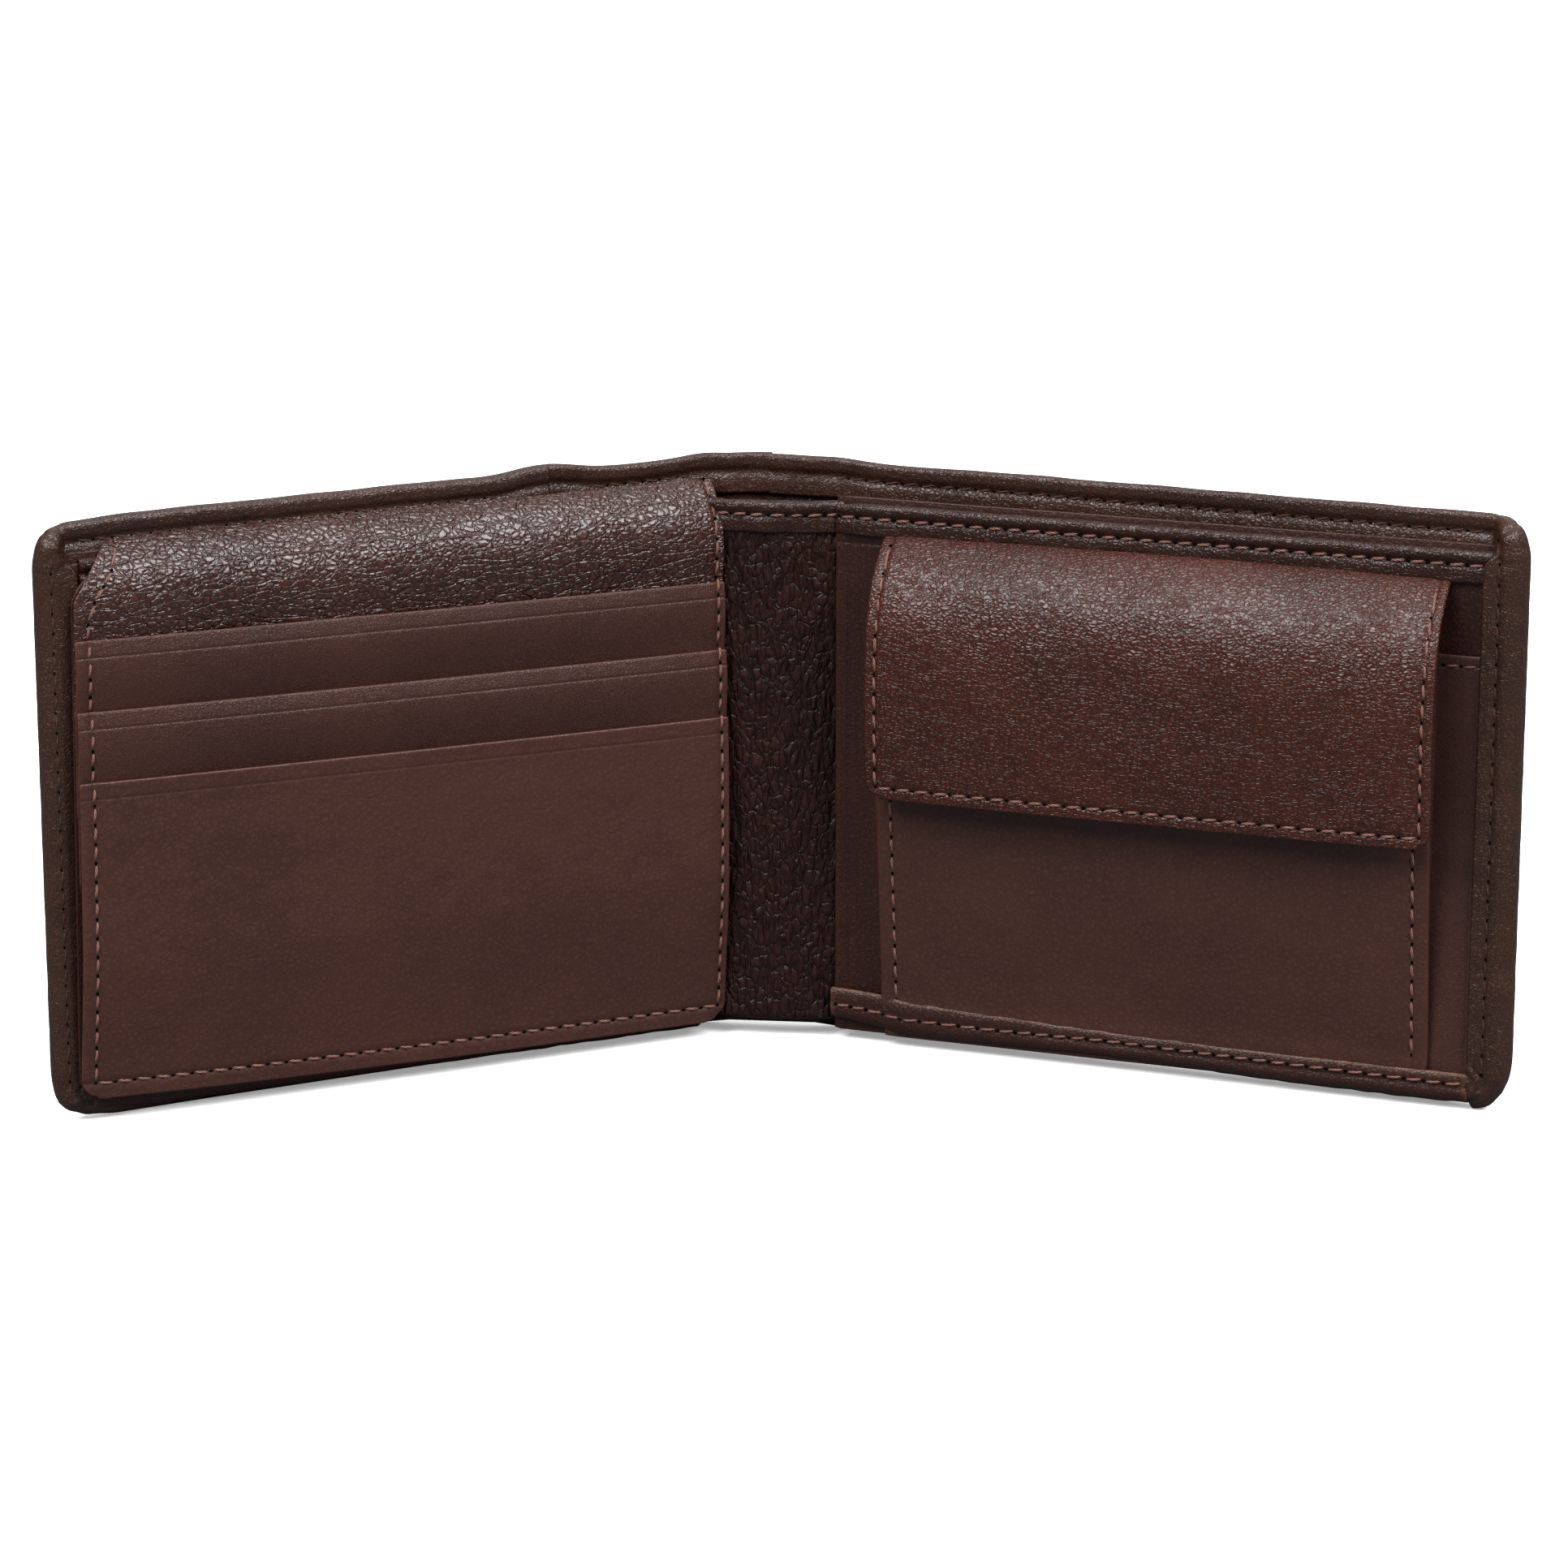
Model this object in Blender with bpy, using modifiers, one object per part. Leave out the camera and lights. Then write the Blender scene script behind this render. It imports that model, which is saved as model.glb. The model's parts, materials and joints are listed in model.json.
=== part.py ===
"""Bifold wallet with bill compartments, a card leaf and a flapped coin pocket.

Metres, +Z up. The wallet stands on its lower edge, half open like a book, with its
inside facing -Y and its width along X. Every body is laid out flat in its own empty:
local X runs along the developed leather (negative on the left half), local Y runs up
the wallet and local Z comes out of the inside face. Lengths below are millimetres.
"""

import math

import bpy
from mathutils import Vector

MM = 0.001

# Driving dimensions
HEIGHT = 95.0  # cover, lower edge to upper edge
HALF = 112.6  # fold axis to the outer edge of one half
SPINE = 22.0  # between the two fold axes
HALF_YAW = 24.15  # each half turned forward from flat
SPINE_YAW = -8.45  # the spine panel's own turn between the halves
COVER_BACK, COVER_FRONT = -1.2, -0.3  # outer leather, about the fold axis plane
CORNER = 6.0  # outer corners of the cover
INNER_CORNER = 4.0  # outer lower corners of the panels held inside the turned edges
TURN = 6.5  # width of the turned edges
TURN_START = HEIGHT - TURN  # where the upper turned edge begins
SIDE_TURN = 6.2  # width of the outer side turned edges
SIDE_WALL = 1.0  # leather around the outside of the side turned edges
RIGHT_SIDE_DEPTH, LEFT_SIDE_DEPTH = 4.2, 3.4  # fronts of the side turned edges
PIVOT_X, PIVOT_W = 110.4, 1.4  # where the inner panels hinge, near the outer edge
RIGHT_BILL, LEFT_BILL = 2.0, 1.3  # opening of the bill compartments, degrees
COIN_X0, COIN_X1 = 10.2, 100.4  # coin pocket, side to side
COIN_Y0, COIN_Y1 = 7.8, 76.0  # coin pocket, bottom to mouth
COIN_W = 3.2  # back of the coin pocket's front at its lower edge
COIN_TILT = 6.0  # coin pocket front leaning out, degrees
COIN_MID = 55.0  # middle of the coin pocket and its press stud
FLAP_Y, FLAP_W = 84.8, 4.4  # hinge of the coin flap
FLAP_X0, FLAP_X1, FLAP_END = 10.2, 101.6, 44.1
FLAP_THICK = 0.9
LEAF_X0, LEAF_X1 = 0.8, 108.0
LEAF_HINGE_X, LEAF_HINGE_W = 1.2, 5.4
THREAD = 0.25  # thread radius
STEPS = 32  # round metal pieces

BROWN = (0.056, 0.030, 0.024)
DARK = (0.030, 0.016, 0.012)
CLOTH = (0.020, 0.014, 0.012)
PALE = (0.200, 0.120, 0.090)
STEEL = (0.600, 0.590, 0.570)


for thing in list(bpy.data.objects):
    bpy.data.objects.remove(thing)

wallet = bpy.data.collections.new("bifold_wallet")
cutters = bpy.data.collections.new("cutters")
bpy.context.scene.collection.children.link(wallet)
bpy.context.scene.collection.children.link(cutters)
bodies = {}


def body(name, parent, layout, turn):
    """An empty on a body's joint axis, at a point of its parent's flat layout."""
    holder = bpy.data.objects.new(name + "_axis", None)
    holder.empty_display_size = 0.01
    wallet.objects.link(holder)
    base = (0.0, 0.0, 0.0)
    if parent:
        holder.parent, base = bodies[parent]
    holder.location = [(a - b) * MM for a, b in zip(layout, base)]
    holder.rotation_euler = [math.radians(angle) for angle in turn]
    bodies[name] = (holder, layout)


def material(name, colour, metallic=0.0, roughness=0.6):
    paint = bpy.data.materials.new(name)
    paint.use_nodes = True
    shader = paint.node_tree.nodes["Principled BSDF"]
    shader.inputs["Base Color"].default_value = (*colour, 1.0)
    shader.inputs["Metallic"].default_value = metallic
    shader.inputs["Roughness"].default_value = roughness
    paint.diffuse_color = (*colour, 1.0)
    return paint


def place(name, data, owner, layout, turn, paint, group=wallet):
    """Link one piece under its body's empty, placed in that body's layout."""
    item = bpy.data.objects.new(name, data)
    group.objects.link(item)
    item.parent, base = bodies[owner]
    item.location = [(a - b) * MM for a, b in zip(layout, base)]
    item.rotation_euler = [math.radians(angle) for angle in turn]
    if paint:
        data.materials.append(paint)
    return item


def rounded(x0, x1, y0, y1, low_left=0.0, low_right=0.0, top_right=0.0, top_left=0.0):
    """Corners of a rectangle, anticlockwise from lower left, with rounded corners."""
    corners = (
        (x0, y0, low_left, 1, 1, 180),
        (x1, y0, low_right, -1, 1, 270),
        (x1, y1, top_right, -1, -1, 0),
        (x0, y1, top_left, 1, -1, 90),
    )
    points = []
    for x, y, radius, inx, iny, start in corners:
        if radius == 0.0:
            points.append((x, y))
            continue
        for step in range(7):
            angle = math.radians(start + 15.0 * step)
            points.append(
                (
                    x + inx * radius + radius * math.cos(angle),
                    y + iny * radius + radius * math.sin(angle),
                )
            )
    return points


TURNS = {"xy": (0, 0, 0), "xw": (90, 0, 0), "yw": (90, 0, 90)}


def outline(name, owner, points, low, high, colour, plane="xy", group=wallet):
    """A flat outline in the plane named, as thick as low to high on its normal."""
    data = bpy.data.curves.new(name, "CURVE")
    data.dimensions = "2D"
    data.fill_mode = "BOTH"
    data.extrude = (high - low) / 2 * MM
    if plane == "xy":
        layout = (0.0, 0.0, (low + high) / 2)
    elif plane == "xw":
        layout = (0.0, (low + high) / 2, 0.0)
    else:
        layout = ((low + high) / 2, 0.0, 0.0)
    base = layout_origin(owner)
    keep = {"xy": (0, 1), "xw": (0, 2), "yw": (1, 2)}[plane]
    layout = tuple(base[i] if i in keep else layout[i] for i in range(3))
    line = data.splines.new("POLY")
    line.points.add(len(points) - 1)
    line.use_cyclic_u = True
    for point, (a, b) in zip(line.points, points):
        point.co = ((a - base[keep[0]]) * MM, (b - base[keep[1]]) * MM, 0.0, 1.0)
    paint = material(name, colour) if colour else None
    return place(name, data, owner, layout, TURNS[plane], paint, group)


def layout_origin(owner):
    return bodies[owner][1]


def thread(name, owner, points):
    """A run of stitching as one round cord."""
    data = bpy.data.curves.new(name, "CURVE")
    data.dimensions = "3D"
    data.bevel_depth = THREAD * MM
    data.bevel_resolution = 2
    data.use_fill_caps = True
    line = data.splines.new("POLY")
    line.points.add(len(points) - 1)
    base = layout_origin(owner)
    for point, spot in zip(line.points, points):
        point.co = (*[(a - b) * MM for a, b in zip(spot, base)], 1.0)
    return place(name, data, owner, base, (0, 0, 0), material(name, PALE))


def turned(name, owner, centre, profile):
    """A round piece about the body's local Z, profile as (radius, height) pairs."""
    data = bpy.data.meshes.new(name)
    spots = [Vector((r * MM, 0.0, h * MM)) for r, h in profile]
    data.from_pydata(spots, [(i, i + 1) for i in range(len(spots) - 1)], [])
    item = place(name, data, owner, centre, (0, 0, 0), material(name, STEEL, 1.0, 0.3))
    screw = item.modifiers.new("screw", "SCREW")
    screw.axis = "Z"
    screw.steps = screw.render_steps = STEPS
    screw.use_merge_vertices = True
    screw.merge_threshold = 0.00001
    return item


def solid(item):
    """Turn a curve object into a mesh object of the same name, in place."""
    bpy.context.view_layer.update()
    name = item.name
    group = item.users_collection[0]
    graph = bpy.context.evaluated_depsgraph_get()
    data = bpy.data.meshes.new_from_object(item.evaluated_get(graph))
    weld = bpy.data.objects.new(name + "_mesh", data)
    group.objects.link(weld)
    weld.parent = item.parent
    weld.location = item.location
    weld.rotation_euler = item.rotation_euler
    bpy.data.objects.remove(item)
    weld.name = name
    weld.modifiers.new("weld", "WELD").merge_threshold = 0.000001
    return weld


def cut(item, tool, operation="DIFFERENCE"):
    """Cut one piece with another, which is kept out of the wallet."""
    tool.hide_render = True
    tool.display_type = "WIRE"
    change = item.modifiers.new("cut", "BOOLEAN")
    change.operation = operation
    change.solver = "EXACT"
    change.object = tool


# Bodies, each on its joint axis
half = SPINE / 2
spine = (math.cos(math.radians(SPINE_YAW)) * half, math.sin(math.radians(SPINE_YAW)) * half)
root = bpy.data.objects.new("bifold_wallet", None)
wallet.objects.link(root)
body("spine", None, (0, 0, 0), (90, 0, SPINE_YAW))
body("right_half", None, (0, 0, 0), (90, 0, -HALF_YAW))
body("left_half", None, (0, 0, 0), (90, 0, HALF_YAW))
for name, sign in (("spine", 0), ("right_half", 1), ("left_half", -1)):
    holder = bodies[name][0]
    holder.parent = root
    holder.location = (sign * spine[0] * MM, sign * spine[1] * MM, 0.0)
body("right_inner", "right_half", (PIVOT_X, 0, PIVOT_W), (0, RIGHT_BILL, 0))
body("left_inner", "left_half", (-PIVOT_X, 0, PIVOT_W), (0, -LEFT_BILL, 0))
body("coin_front", "right_inner", (COIN_MID, COIN_Y0, COIN_W), (COIN_TILT, 0, 0))
body("coin_flap", "right_inner", (COIN_MID, FLAP_Y, FLAP_W), (0, 0, 0))
body("card_leaf", "left_inner", (-LEAF_HINGE_X, 0, LEAF_HINGE_W), (0, 0, 0))

# Spine: cover, lining, turned edges and the soft strip between the inner panels
outline("spine_cover", "spine", rounded(-10.8, 10.8, 0, HEIGHT), COVER_BACK, COVER_FRONT, BROWN)
outline("spine_lining", "spine", rounded(-10.3, 10.3, 6.8, 88.2), 0, 0.3, CLOTH)
outline("spine_turned_edge_top", "spine", rounded(-9.9, 9.9, TURN_START, HEIGHT), 0, 0.45, BROWN)
outline("spine_turned_edge_bottom", "spine", rounded(-9.9, 9.9, 0.3, TURN), 0, 0.45, BROWN)
outline("inner_spine_strip", "spine", rounded(-6.6, 9.8, 4.0, 89.4), 6.3, 7.0, DARK)
outline("spine_strip_binding", "spine", rounded(-6.2, 9.4, 84.8, 89.6), 7.3, 7.8, DARK)
thread("spine_top_seam", "spine", [(-3, 93.2, 1.0), (9.4, 93.2, 1.0)])
thread("spine_binding_seam", "spine", [(-5.6, 87.3, 8.35), (8.8, 87.3, 8.35)])


def mirrored(points, sign):
    return [(sign * x, y) for x, y in points][::sign]


def cover_half(side, sign, depth, seam_x):
    """The outer leather, lining, turned edges and seams shared by both halves."""
    owner = side + "_half"

    def flat(name, points, low, high, colour, group=wallet):
        return outline(name, owner, mirrored(points, sign), low, high, colour, group=group)

    cover = rounded(0.2, HALF, 0, HEIGHT, low_right=CORNER, top_right=CORNER)
    flat("cover_" + side, cover, COVER_BACK, COVER_FRONT, BROWN)
    lining = rounded(0.7, 110.9, 1.5, 88.2, low_right=INNER_CORNER + 0.5)
    flat(side + "_lining", lining, 0, 0.3, CLOTH)
    flat(side + "_top_turned_edge", rounded(1.1, 106.1, TURN_START, HEIGHT), 0, 0.45, BROWN)
    edge = rounded(HALF - SIDE_TURN, HALF, 0, HEIGHT, low_right=CORNER, top_right=CORNER)
    flange = solid(flat(side + "_side_turned_edge", edge, 0, depth, BROWN))
    inside = rounded(
        100, HALF - SIDE_WALL, 1.2, HEIGHT - 1.2, low_right=CORNER - 1, top_right=CORNER - 1
    )
    pocket = solid(flat(side + "_edge_pocket", inside, -2, depth - 0.8, None, cutters))
    cut(flange, pocket)
    thread(side + "_top_seam", owner, [(sign * 2, 92, 1.05), (sign * 106, 92, 1.05)])
    seam_w = depth + 0.55
    ends = [(sign * seam_x, 3.5, seam_w), (sign * seam_x, 91.5, seam_w)]
    thread(side + "_side_seam", owner, ends)


cover_half("right", 1, RIGHT_SIDE_DEPTH, 109.1)
cover_half("left", -1, LEFT_SIDE_DEPTH, 111.2)

# Soft webs closing the bottom of the bill compartment
web = [(-9.5, 0.75), (9.5, 0.75), (9.5, 6.0), (-6.6, 6.0)]
outline("spine_bottom_gusset", "spine", web, 0.3, 1.3, DARK, "xw")
web = [(2, 0), (105, 0), (105, 3.09), (2, 6.68)]
outline("right_bottom_gusset", "right_half", web, 0.3, 1.3, DARK, "xw")
web = [(-4, 0), (-4, 4.5), (-105, 2.22), (-105, 0)]
outline("left_bottom_gusset", "left_half", web, 0.3, 1.3, DARK, "xw")

# Folded binding along the top of an inner panel: (up the wallet, out of the panel)
binding = [(84.7, 2.4), (89.2, 2.4), (89.2, 1.4), (89.6, 1.4), (89.6, 2.9), (84.7, 2.9)]

# Right inner panel with its slip pocket and flange
panel = rounded(1.5, 110, 1.8, 90.4, low_right=INNER_CORNER)
outline("right_bill_divider", "right_inner", panel, 0.7, 1.1, DARK)
panel = rounded(1.5, 110, 1.8, 88.9, low_right=INNER_CORNER)
outline("right_inner_panel", "right_inner", panel, 1.4, 2.1, DARK)
panel = rounded(COIN_X0, 109.5, 1.8, 73.1, low_right=INNER_CORNER)
outline("right_slip_pocket", "right_inner", panel, 2.4, 2.9, DARK)
outline("right_top_binding", "right_inner", binding, 1.8, 108, DARK, "yw")
flange = rounded(1.5, 105.8, 0.5, 7.1)
outline("right_bottom_flange", "right_inner", flange, 3.2, 4.0, DARK)
thread("right_binding_seam", "right_inner", [(2.5, 87.3, 3.45), (105.8, 87.3, 3.45)])
thread("right_bottom_seam", "right_inner", [(2.5, 4.4, 4.55), (105.5, 4.4, 4.55)])
thread("slip_pocket_seam", "right_inner", [(103.5, 71.4, 3.45), (106, 71.4, 3.45)])

# Coin pocket: soft side gussets, then the leaning front with lining and press stud
slope = math.tan(math.radians(COIN_TILT))
side_web = [
    (14, COIN_W),
    (75, COIN_W),
    (75, COIN_W + (75 - COIN_Y0) * slope - 0.35),
    (14, COIN_W + (14 - COIN_Y0) * slope - 0.35),
]
outline("coin_gusset_left", "right_inner", side_web, COIN_X0, COIN_X0 + 0.8, BROWN, "yw")
outline("coin_gusset_right", "right_inner", side_web, COIN_X1 - 0.8, COIN_X1, BROWN, "yw")
front = rounded(COIN_X0, COIN_X1, COIN_Y0, COIN_Y1)
outline("coin_pocket_front", "coin_front", front, COIN_W, COIN_W + 0.8, BROWN)
lining = rounded(COIN_X0 + 1.2, COIN_X1 - 1.2, 14, 75)
outline("coin_front_lining", "coin_front", lining, COIN_W - 0.6, COIN_W - 0.3, CLOTH)
seam_w = COIN_W + 1.35
for name, x in (("coin_seam_left", COIN_X0 + 2.6), ("coin_seam_right", COIN_X1 - 2.6)):
    ends = [(x, COIN_Y0 + 2, seam_w), (x, COIN_Y0 + 58, seam_w)]
    thread(name, "coin_front", ends)
stud_y = COIN_Y0 + 44
stud = [(0, 2.0), (1.6, 2.0), (1.6, 0.4), (3.2, 0.4), (3.2, 0), (0, 0)]
turned("snap_stud", "coin_front", (COIN_MID, stud_y, COIN_W + 1.1), stud)
disc = [(0, 0.5), (3.0, 0.5), (3.0, 0), (0, 0)]
turned("snap_post", "coin_front", (COIN_MID, stud_y, COIN_W - 1.4), disc)

# Coin flap, bent over the mouth of the pocket
bend = (COIN_Y1, FLAP_W + 7.7)
rise = Vector((84.2 - bend[0], 4.6 - bend[1])).normalized()
out = Vector((-rise.y, rise.x)) * FLAP_THICK
outer_w = bend[1] + FLAP_THICK
outer_y = 84.2 + out.x - (outer_w - 4.6 - out.y) / -rise.y * rise.x
section = [
    (84.2, 4.6),
    bend,
    (FLAP_END, bend[1]),
    (FLAP_END, outer_w),
    (outer_y, outer_w),
    (84.2 + out.x, 4.6 + out.y),
][::-1]
flap = solid(outline("coin_flap_leather", "coin_flap", section, FLAP_X0, FLAP_X1, BROWN, "yw"))
keep = rounded(FLAP_X0 - 0.01, FLAP_X1 + 0.01, FLAP_END - 0.01, 90, 3.5, 3.5)
keeper = solid(outline("coin_flap_corners", "coin_flap", keep, 0, 20, None, "xy", cutters))
cut(flap, keeper, "INTERSECT")
lining = rounded(FLAP_X0 + 1, FLAP_X1 - 1, FLAP_END + 0.9, 75.5)
outline("coin_flap_lining", "coin_flap", lining, 11.4, 11.8, DARK)
ring = [(2.2, 1.2), (4.5, 1.2), (4.5, 0), (2.2, 0), (2.2, 1.2)]
turned("snap_socket", "coin_flap", (COIN_MID, 51.35, 9.9), ring)
left, right, low, high = FLAP_X0 + 1.6, FLAP_X1 - 1.6, FLAP_END + 1.9, 74.0
path = [(left, high), (left, low), (right, low), (right, high)]
thread("coin_flap_seam", "coin_flap", [(x, y, outer_w + 0.55) for x, y in path])

# Left inner panel, behind the card leaf
left_panel = mirrored(rounded(3, 110, 1.8, 90.4, low_right=INNER_CORNER), -1)
outline("left_bill_divider", "left_inner", left_panel, 0.7, 1.1, DARK)
left_panel = mirrored(rounded(3, 110, 1.8, 88.9, low_right=INNER_CORNER), -1)
outline("left_inner_panel", "left_inner", left_panel, 1.4, 2.1, DARK)
outline("left_top_binding", "left_inner", binding, -105.9, -3.3, DARK, "yw")
flange = mirrored(rounded(3, 105.8, 0.5, 7.1), -1)
outline("left_bottom_flange", "left_inner", flange, 2.4, 3.2, DARK)


def leaf_shape(low, high):
    """Leaf outline between two heights, with its clipped outer top corner."""
    corner = 3.5 if low < 5 else 0.0
    points = rounded(LEAF_X0, LEAF_X1, low, high, low_left=corner, low_right=corner)
    if high > 85:
        points[-2:-1] = [(LEAF_X1, 85.0), (LEAF_X1 - 0.9, 85.6), (100.6, high)]
    return mirrored(points, -1)


# Card leaf: backing, top panel and three stepped card slots
outline("leaf_back", "card_leaf", leaf_shape(2.8, 92), 3.8, 4.3, DARK)
outline("leaf_top_panel", "card_leaf", leaf_shape(60, 91.5), 4.6, 5.0, BROWN)
outline("card_slot_1", "card_leaf", leaf_shape(49, 77), 5.3, 5.7, BROWN)
outline("card_slot_2", "card_leaf", leaf_shape(38, 66), 6.0, 6.4, BROWN)
outline("card_slot_3", "card_leaf", leaf_shape(2.8, 55), 6.7, 7.1, BROWN)
path = [(105.6, 54), (105.6, 5.2), (3.3, 5.2), (3.3, 54)]
thread("leaf_seam", "card_leaf", [(-x, y, 7.65) for x, y in path])

# Centre the wallet on the origin with its lower edge on Z = 0
bpy.context.view_layer.update()
graph = bpy.context.evaluated_depsgraph_get()
spots = []
for item in wallet.objects:
    if item.type == "EMPTY":
        continue
    seen = item.evaluated_get(graph)
    for vertex in seen.to_mesh().vertices:
        spots.append(item.matrix_world @ vertex.co)
    seen.to_mesh_clear()
low = Vector(min(spot[axis] for spot in spots) for axis in range(3))
high = Vector(max(spot[axis] for spot in spots) for axis in range(3))
root.location = (-(low.x + high.x) / 2, -(low.y + high.y) / 2, -low.z)
bpy.context.view_layer.update()
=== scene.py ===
"""Bifold wallet: leather, lining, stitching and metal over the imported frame.

Shapes are drawn in each body's flat layout, in millimetres: x along the developed
leather (negative on the left half), y up the wallet, w out of the inside face.
"""

import json
import math

import bpy
import numpy as np
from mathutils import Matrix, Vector


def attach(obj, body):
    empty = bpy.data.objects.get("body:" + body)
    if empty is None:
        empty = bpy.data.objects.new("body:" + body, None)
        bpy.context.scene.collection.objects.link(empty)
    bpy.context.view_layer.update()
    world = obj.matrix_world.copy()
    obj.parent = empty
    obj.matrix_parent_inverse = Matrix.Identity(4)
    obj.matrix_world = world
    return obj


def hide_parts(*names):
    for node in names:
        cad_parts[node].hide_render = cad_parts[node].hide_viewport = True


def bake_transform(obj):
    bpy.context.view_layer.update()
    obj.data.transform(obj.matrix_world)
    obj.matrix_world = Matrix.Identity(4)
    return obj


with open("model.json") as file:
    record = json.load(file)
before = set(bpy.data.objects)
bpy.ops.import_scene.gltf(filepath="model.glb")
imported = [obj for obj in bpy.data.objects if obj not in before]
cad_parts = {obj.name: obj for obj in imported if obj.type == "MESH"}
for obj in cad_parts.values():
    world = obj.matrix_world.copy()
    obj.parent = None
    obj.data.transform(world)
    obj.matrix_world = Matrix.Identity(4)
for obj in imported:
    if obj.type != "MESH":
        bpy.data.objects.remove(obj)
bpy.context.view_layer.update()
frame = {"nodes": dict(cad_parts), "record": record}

MM = 0.001
HALF = 112.6  # fold axis to outer edge
HEIGHT = 95.0
FOLD = 11.0  # middle of the spine to each fold axis
BEND = 4.0  # leather each side of a fold axis that bends
BACK = -1.2  # outer face of the cover
SUNK = -0.3  # inner face of the cover between its turned edges
ROLL = 0.83  # radius of the cover's rolled edge where it is thinnest
HEM = 6.7  # upper rim of the bottom turned edge
TOP_TURN = 88.3  # lower rim of the top turned edge
TOP_SEAM = 92.0
SIDE_TURN = 106.25  # inner rim of the side turned edge
SIDES = {1: "right", -1: "left"}
SIDE_SEAM = {1: 109.1, -1: 110.6}
RAISE = {1: 4.2, -1: 3.4}  # fronts of the side turned edges
SPINE_YAW, HALF_YAW = -8.45, 24.15  # degrees that the bodies stand turned at rest
INNER_YAW = {1: -22.15, -1: 22.85}
PITCH = 3.1  # stitch to stitch
COIN_FOOT, COIN_LEAN = 7.8, 6.0  # y of the coin front's hinge, and degrees it leans out
LEFT_GRAIN = 300.0  # the left half's leather is cut from elsewhere in the hide

# ---------------------------------------------------------------- body frames
pivots = {j["child"]: j["pos_m"] for j in frame["record"]["behaviour"]["joints"]}
folds = np.array([pivots["left_half"], pivots["right_half"]])


def body_frame(origin, layout, yaw, tilt=0.0):
    """A body's origin, the layout point there, and its layout x, y and w directions."""
    yaw, tilt = math.radians(yaw), math.radians(tilt)
    across = np.array((math.cos(yaw), math.sin(yaw), 0.0))
    up, out = np.array((0.0, 0.0, 1.0)), np.array((math.sin(yaw), -math.cos(yaw), 0.0))
    lean, turn = math.cos(tilt), math.sin(tilt)
    rows = np.array((across, lean * up + turn * out, lean * out - turn * up))
    return np.array(origin, float), np.array(layout, float), rows


def on_floor(point):
    return (point[0], point[1], 0.0)


FRAMES = {
    "spine": body_frame(on_floor(folds.mean(0)), (0, 0, 0), SPINE_YAW),
    "right_half": body_frame(on_floor(folds[1]), (0, 0, 0), -HALF_YAW),
    "left_half": body_frame(on_floor(folds[0]), (0, 0, 0), HALF_YAW),
    "right_inner": body_frame(on_floor(pivots["right_inner"]), (110.4, 0, 1.4), INNER_YAW[1]),
    "left_inner": body_frame(on_floor(pivots["left_inner"]), (-110.4, 0, 1.4), INNER_YAW[-1]),
    "coin_front": body_frame(pivots["coin_front"], (55, COIN_FOOT, 3.2), INNER_YAW[1], COIN_LEAN),
    "coin_flap": body_frame(pivots["coin_flap"], (55, 84.8, 4.4), INNER_YAW[1]),
    "card_leaf": body_frame(on_floor(pivots["card_leaf"]), (-1.2, 0, 5.4), INNER_YAW[-1]),
}


def put(body):
    """A function from a body's layout to the row frame."""
    origin, layout, rows = FRAMES[body]
    return lambda points: origin + (np.asarray(points) - layout) @ rows * MM


def ease(t):
    t = np.clip(t, 0.0, 1.0)
    return t * t * (3.0 - 2.0 * t)


def put_over_fold(side):
    """Half layout to the row frame for leather that runs on round the fold to the spine."""
    on_half, on_spine = put(SIDES[side] + "_half"), put("spine")

    def place(points):
        points = np.asarray(points, float)
        share = ease(side * points[..., :1] / (2 * BEND) + 0.5)
        beyond = points + np.array((side * FOLD, 0.0, 0.0))
        return share * on_half(points) + (1 - share) * on_spine(beyond)

    return place


def bend_over_fold(piece, side):
    """Bake a piece's placement into its mesh; the ends of the fold are worked out but not used."""
    place = put_over_fold(side)
    start, end = place([[-side * BEND, 0, 0], [side * BEND, 0, 0]])
    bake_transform(piece)


# ---------------------------------------------------------------- mesh helpers
def spread(low, high, step, fine=(), reach=1.2):
    """Positions from low to high, closer together round the fine ones."""
    count = max(2, math.ceil((high - low) / step) + 1)
    marks = list(np.linspace(low, high, count))
    for spot in fine:
        marks += [spot + reach * d for d in (-1, -0.6, -0.35, -0.15, 0, 0.15, 0.35, 0.6, 1)]
    marks = sorted(m for m in marks if low < m < high)
    kept = [low]
    for mark in marks:
        if mark - kept[-1] > 0.07:
            kept.append(mark)
    if high - kept[-1] < 0.05:
        kept.pop()
    return np.array(kept + [high])


def spline(points, step=0.1):
    """A smooth line through (y, w) points, sampled finely, with its running length."""
    points = np.array(points, float)
    if len(points) == 2:
        samples = points
    else:
        ends = np.vstack((2 * points[0] - points[1], points, 2 * points[-1] - points[-2]))
        samples = [points[0]]
        for a, b, c, d in zip(ends, ends[1:], ends[2:], ends[3:]):
            count = max(2, int(np.linalg.norm(c - b) / step))
            for t in np.arange(1, count + 1) / count:
                bend = (2 * a - 5 * b + 4 * c - d) * t**2 + (3 * b - a - 3 * c + d) * t**3
                samples.append(0.5 * (2 * b + (c - a) * t + bend))
        samples = np.array(samples)
    run = np.concatenate(([0.0], np.cumsum(np.linalg.norm(np.diff(samples, axis=0), axis=1))))
    return samples, run


def wavy(x, y, size, seed):
    """Smooth irregular waves about size across, roughly -1 to 1."""
    rng = np.random.default_rng(seed)
    total = np.zeros(np.broadcast(x, y).shape)
    for _ in range(8):
        angle, phase = rng.uniform(0, math.tau, 2)
        scale = size * rng.uniform(0.6, 1.7)
        total += np.sin(math.tau * (x * math.cos(angle) + y * math.sin(angle)) / scale + phase)
    return total / 4.0


def bell(distance, width):
    return np.exp(-((distance / width) ** 2))


def dent(distance, width, depth):
    return -depth * bell(distance, width)


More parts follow.
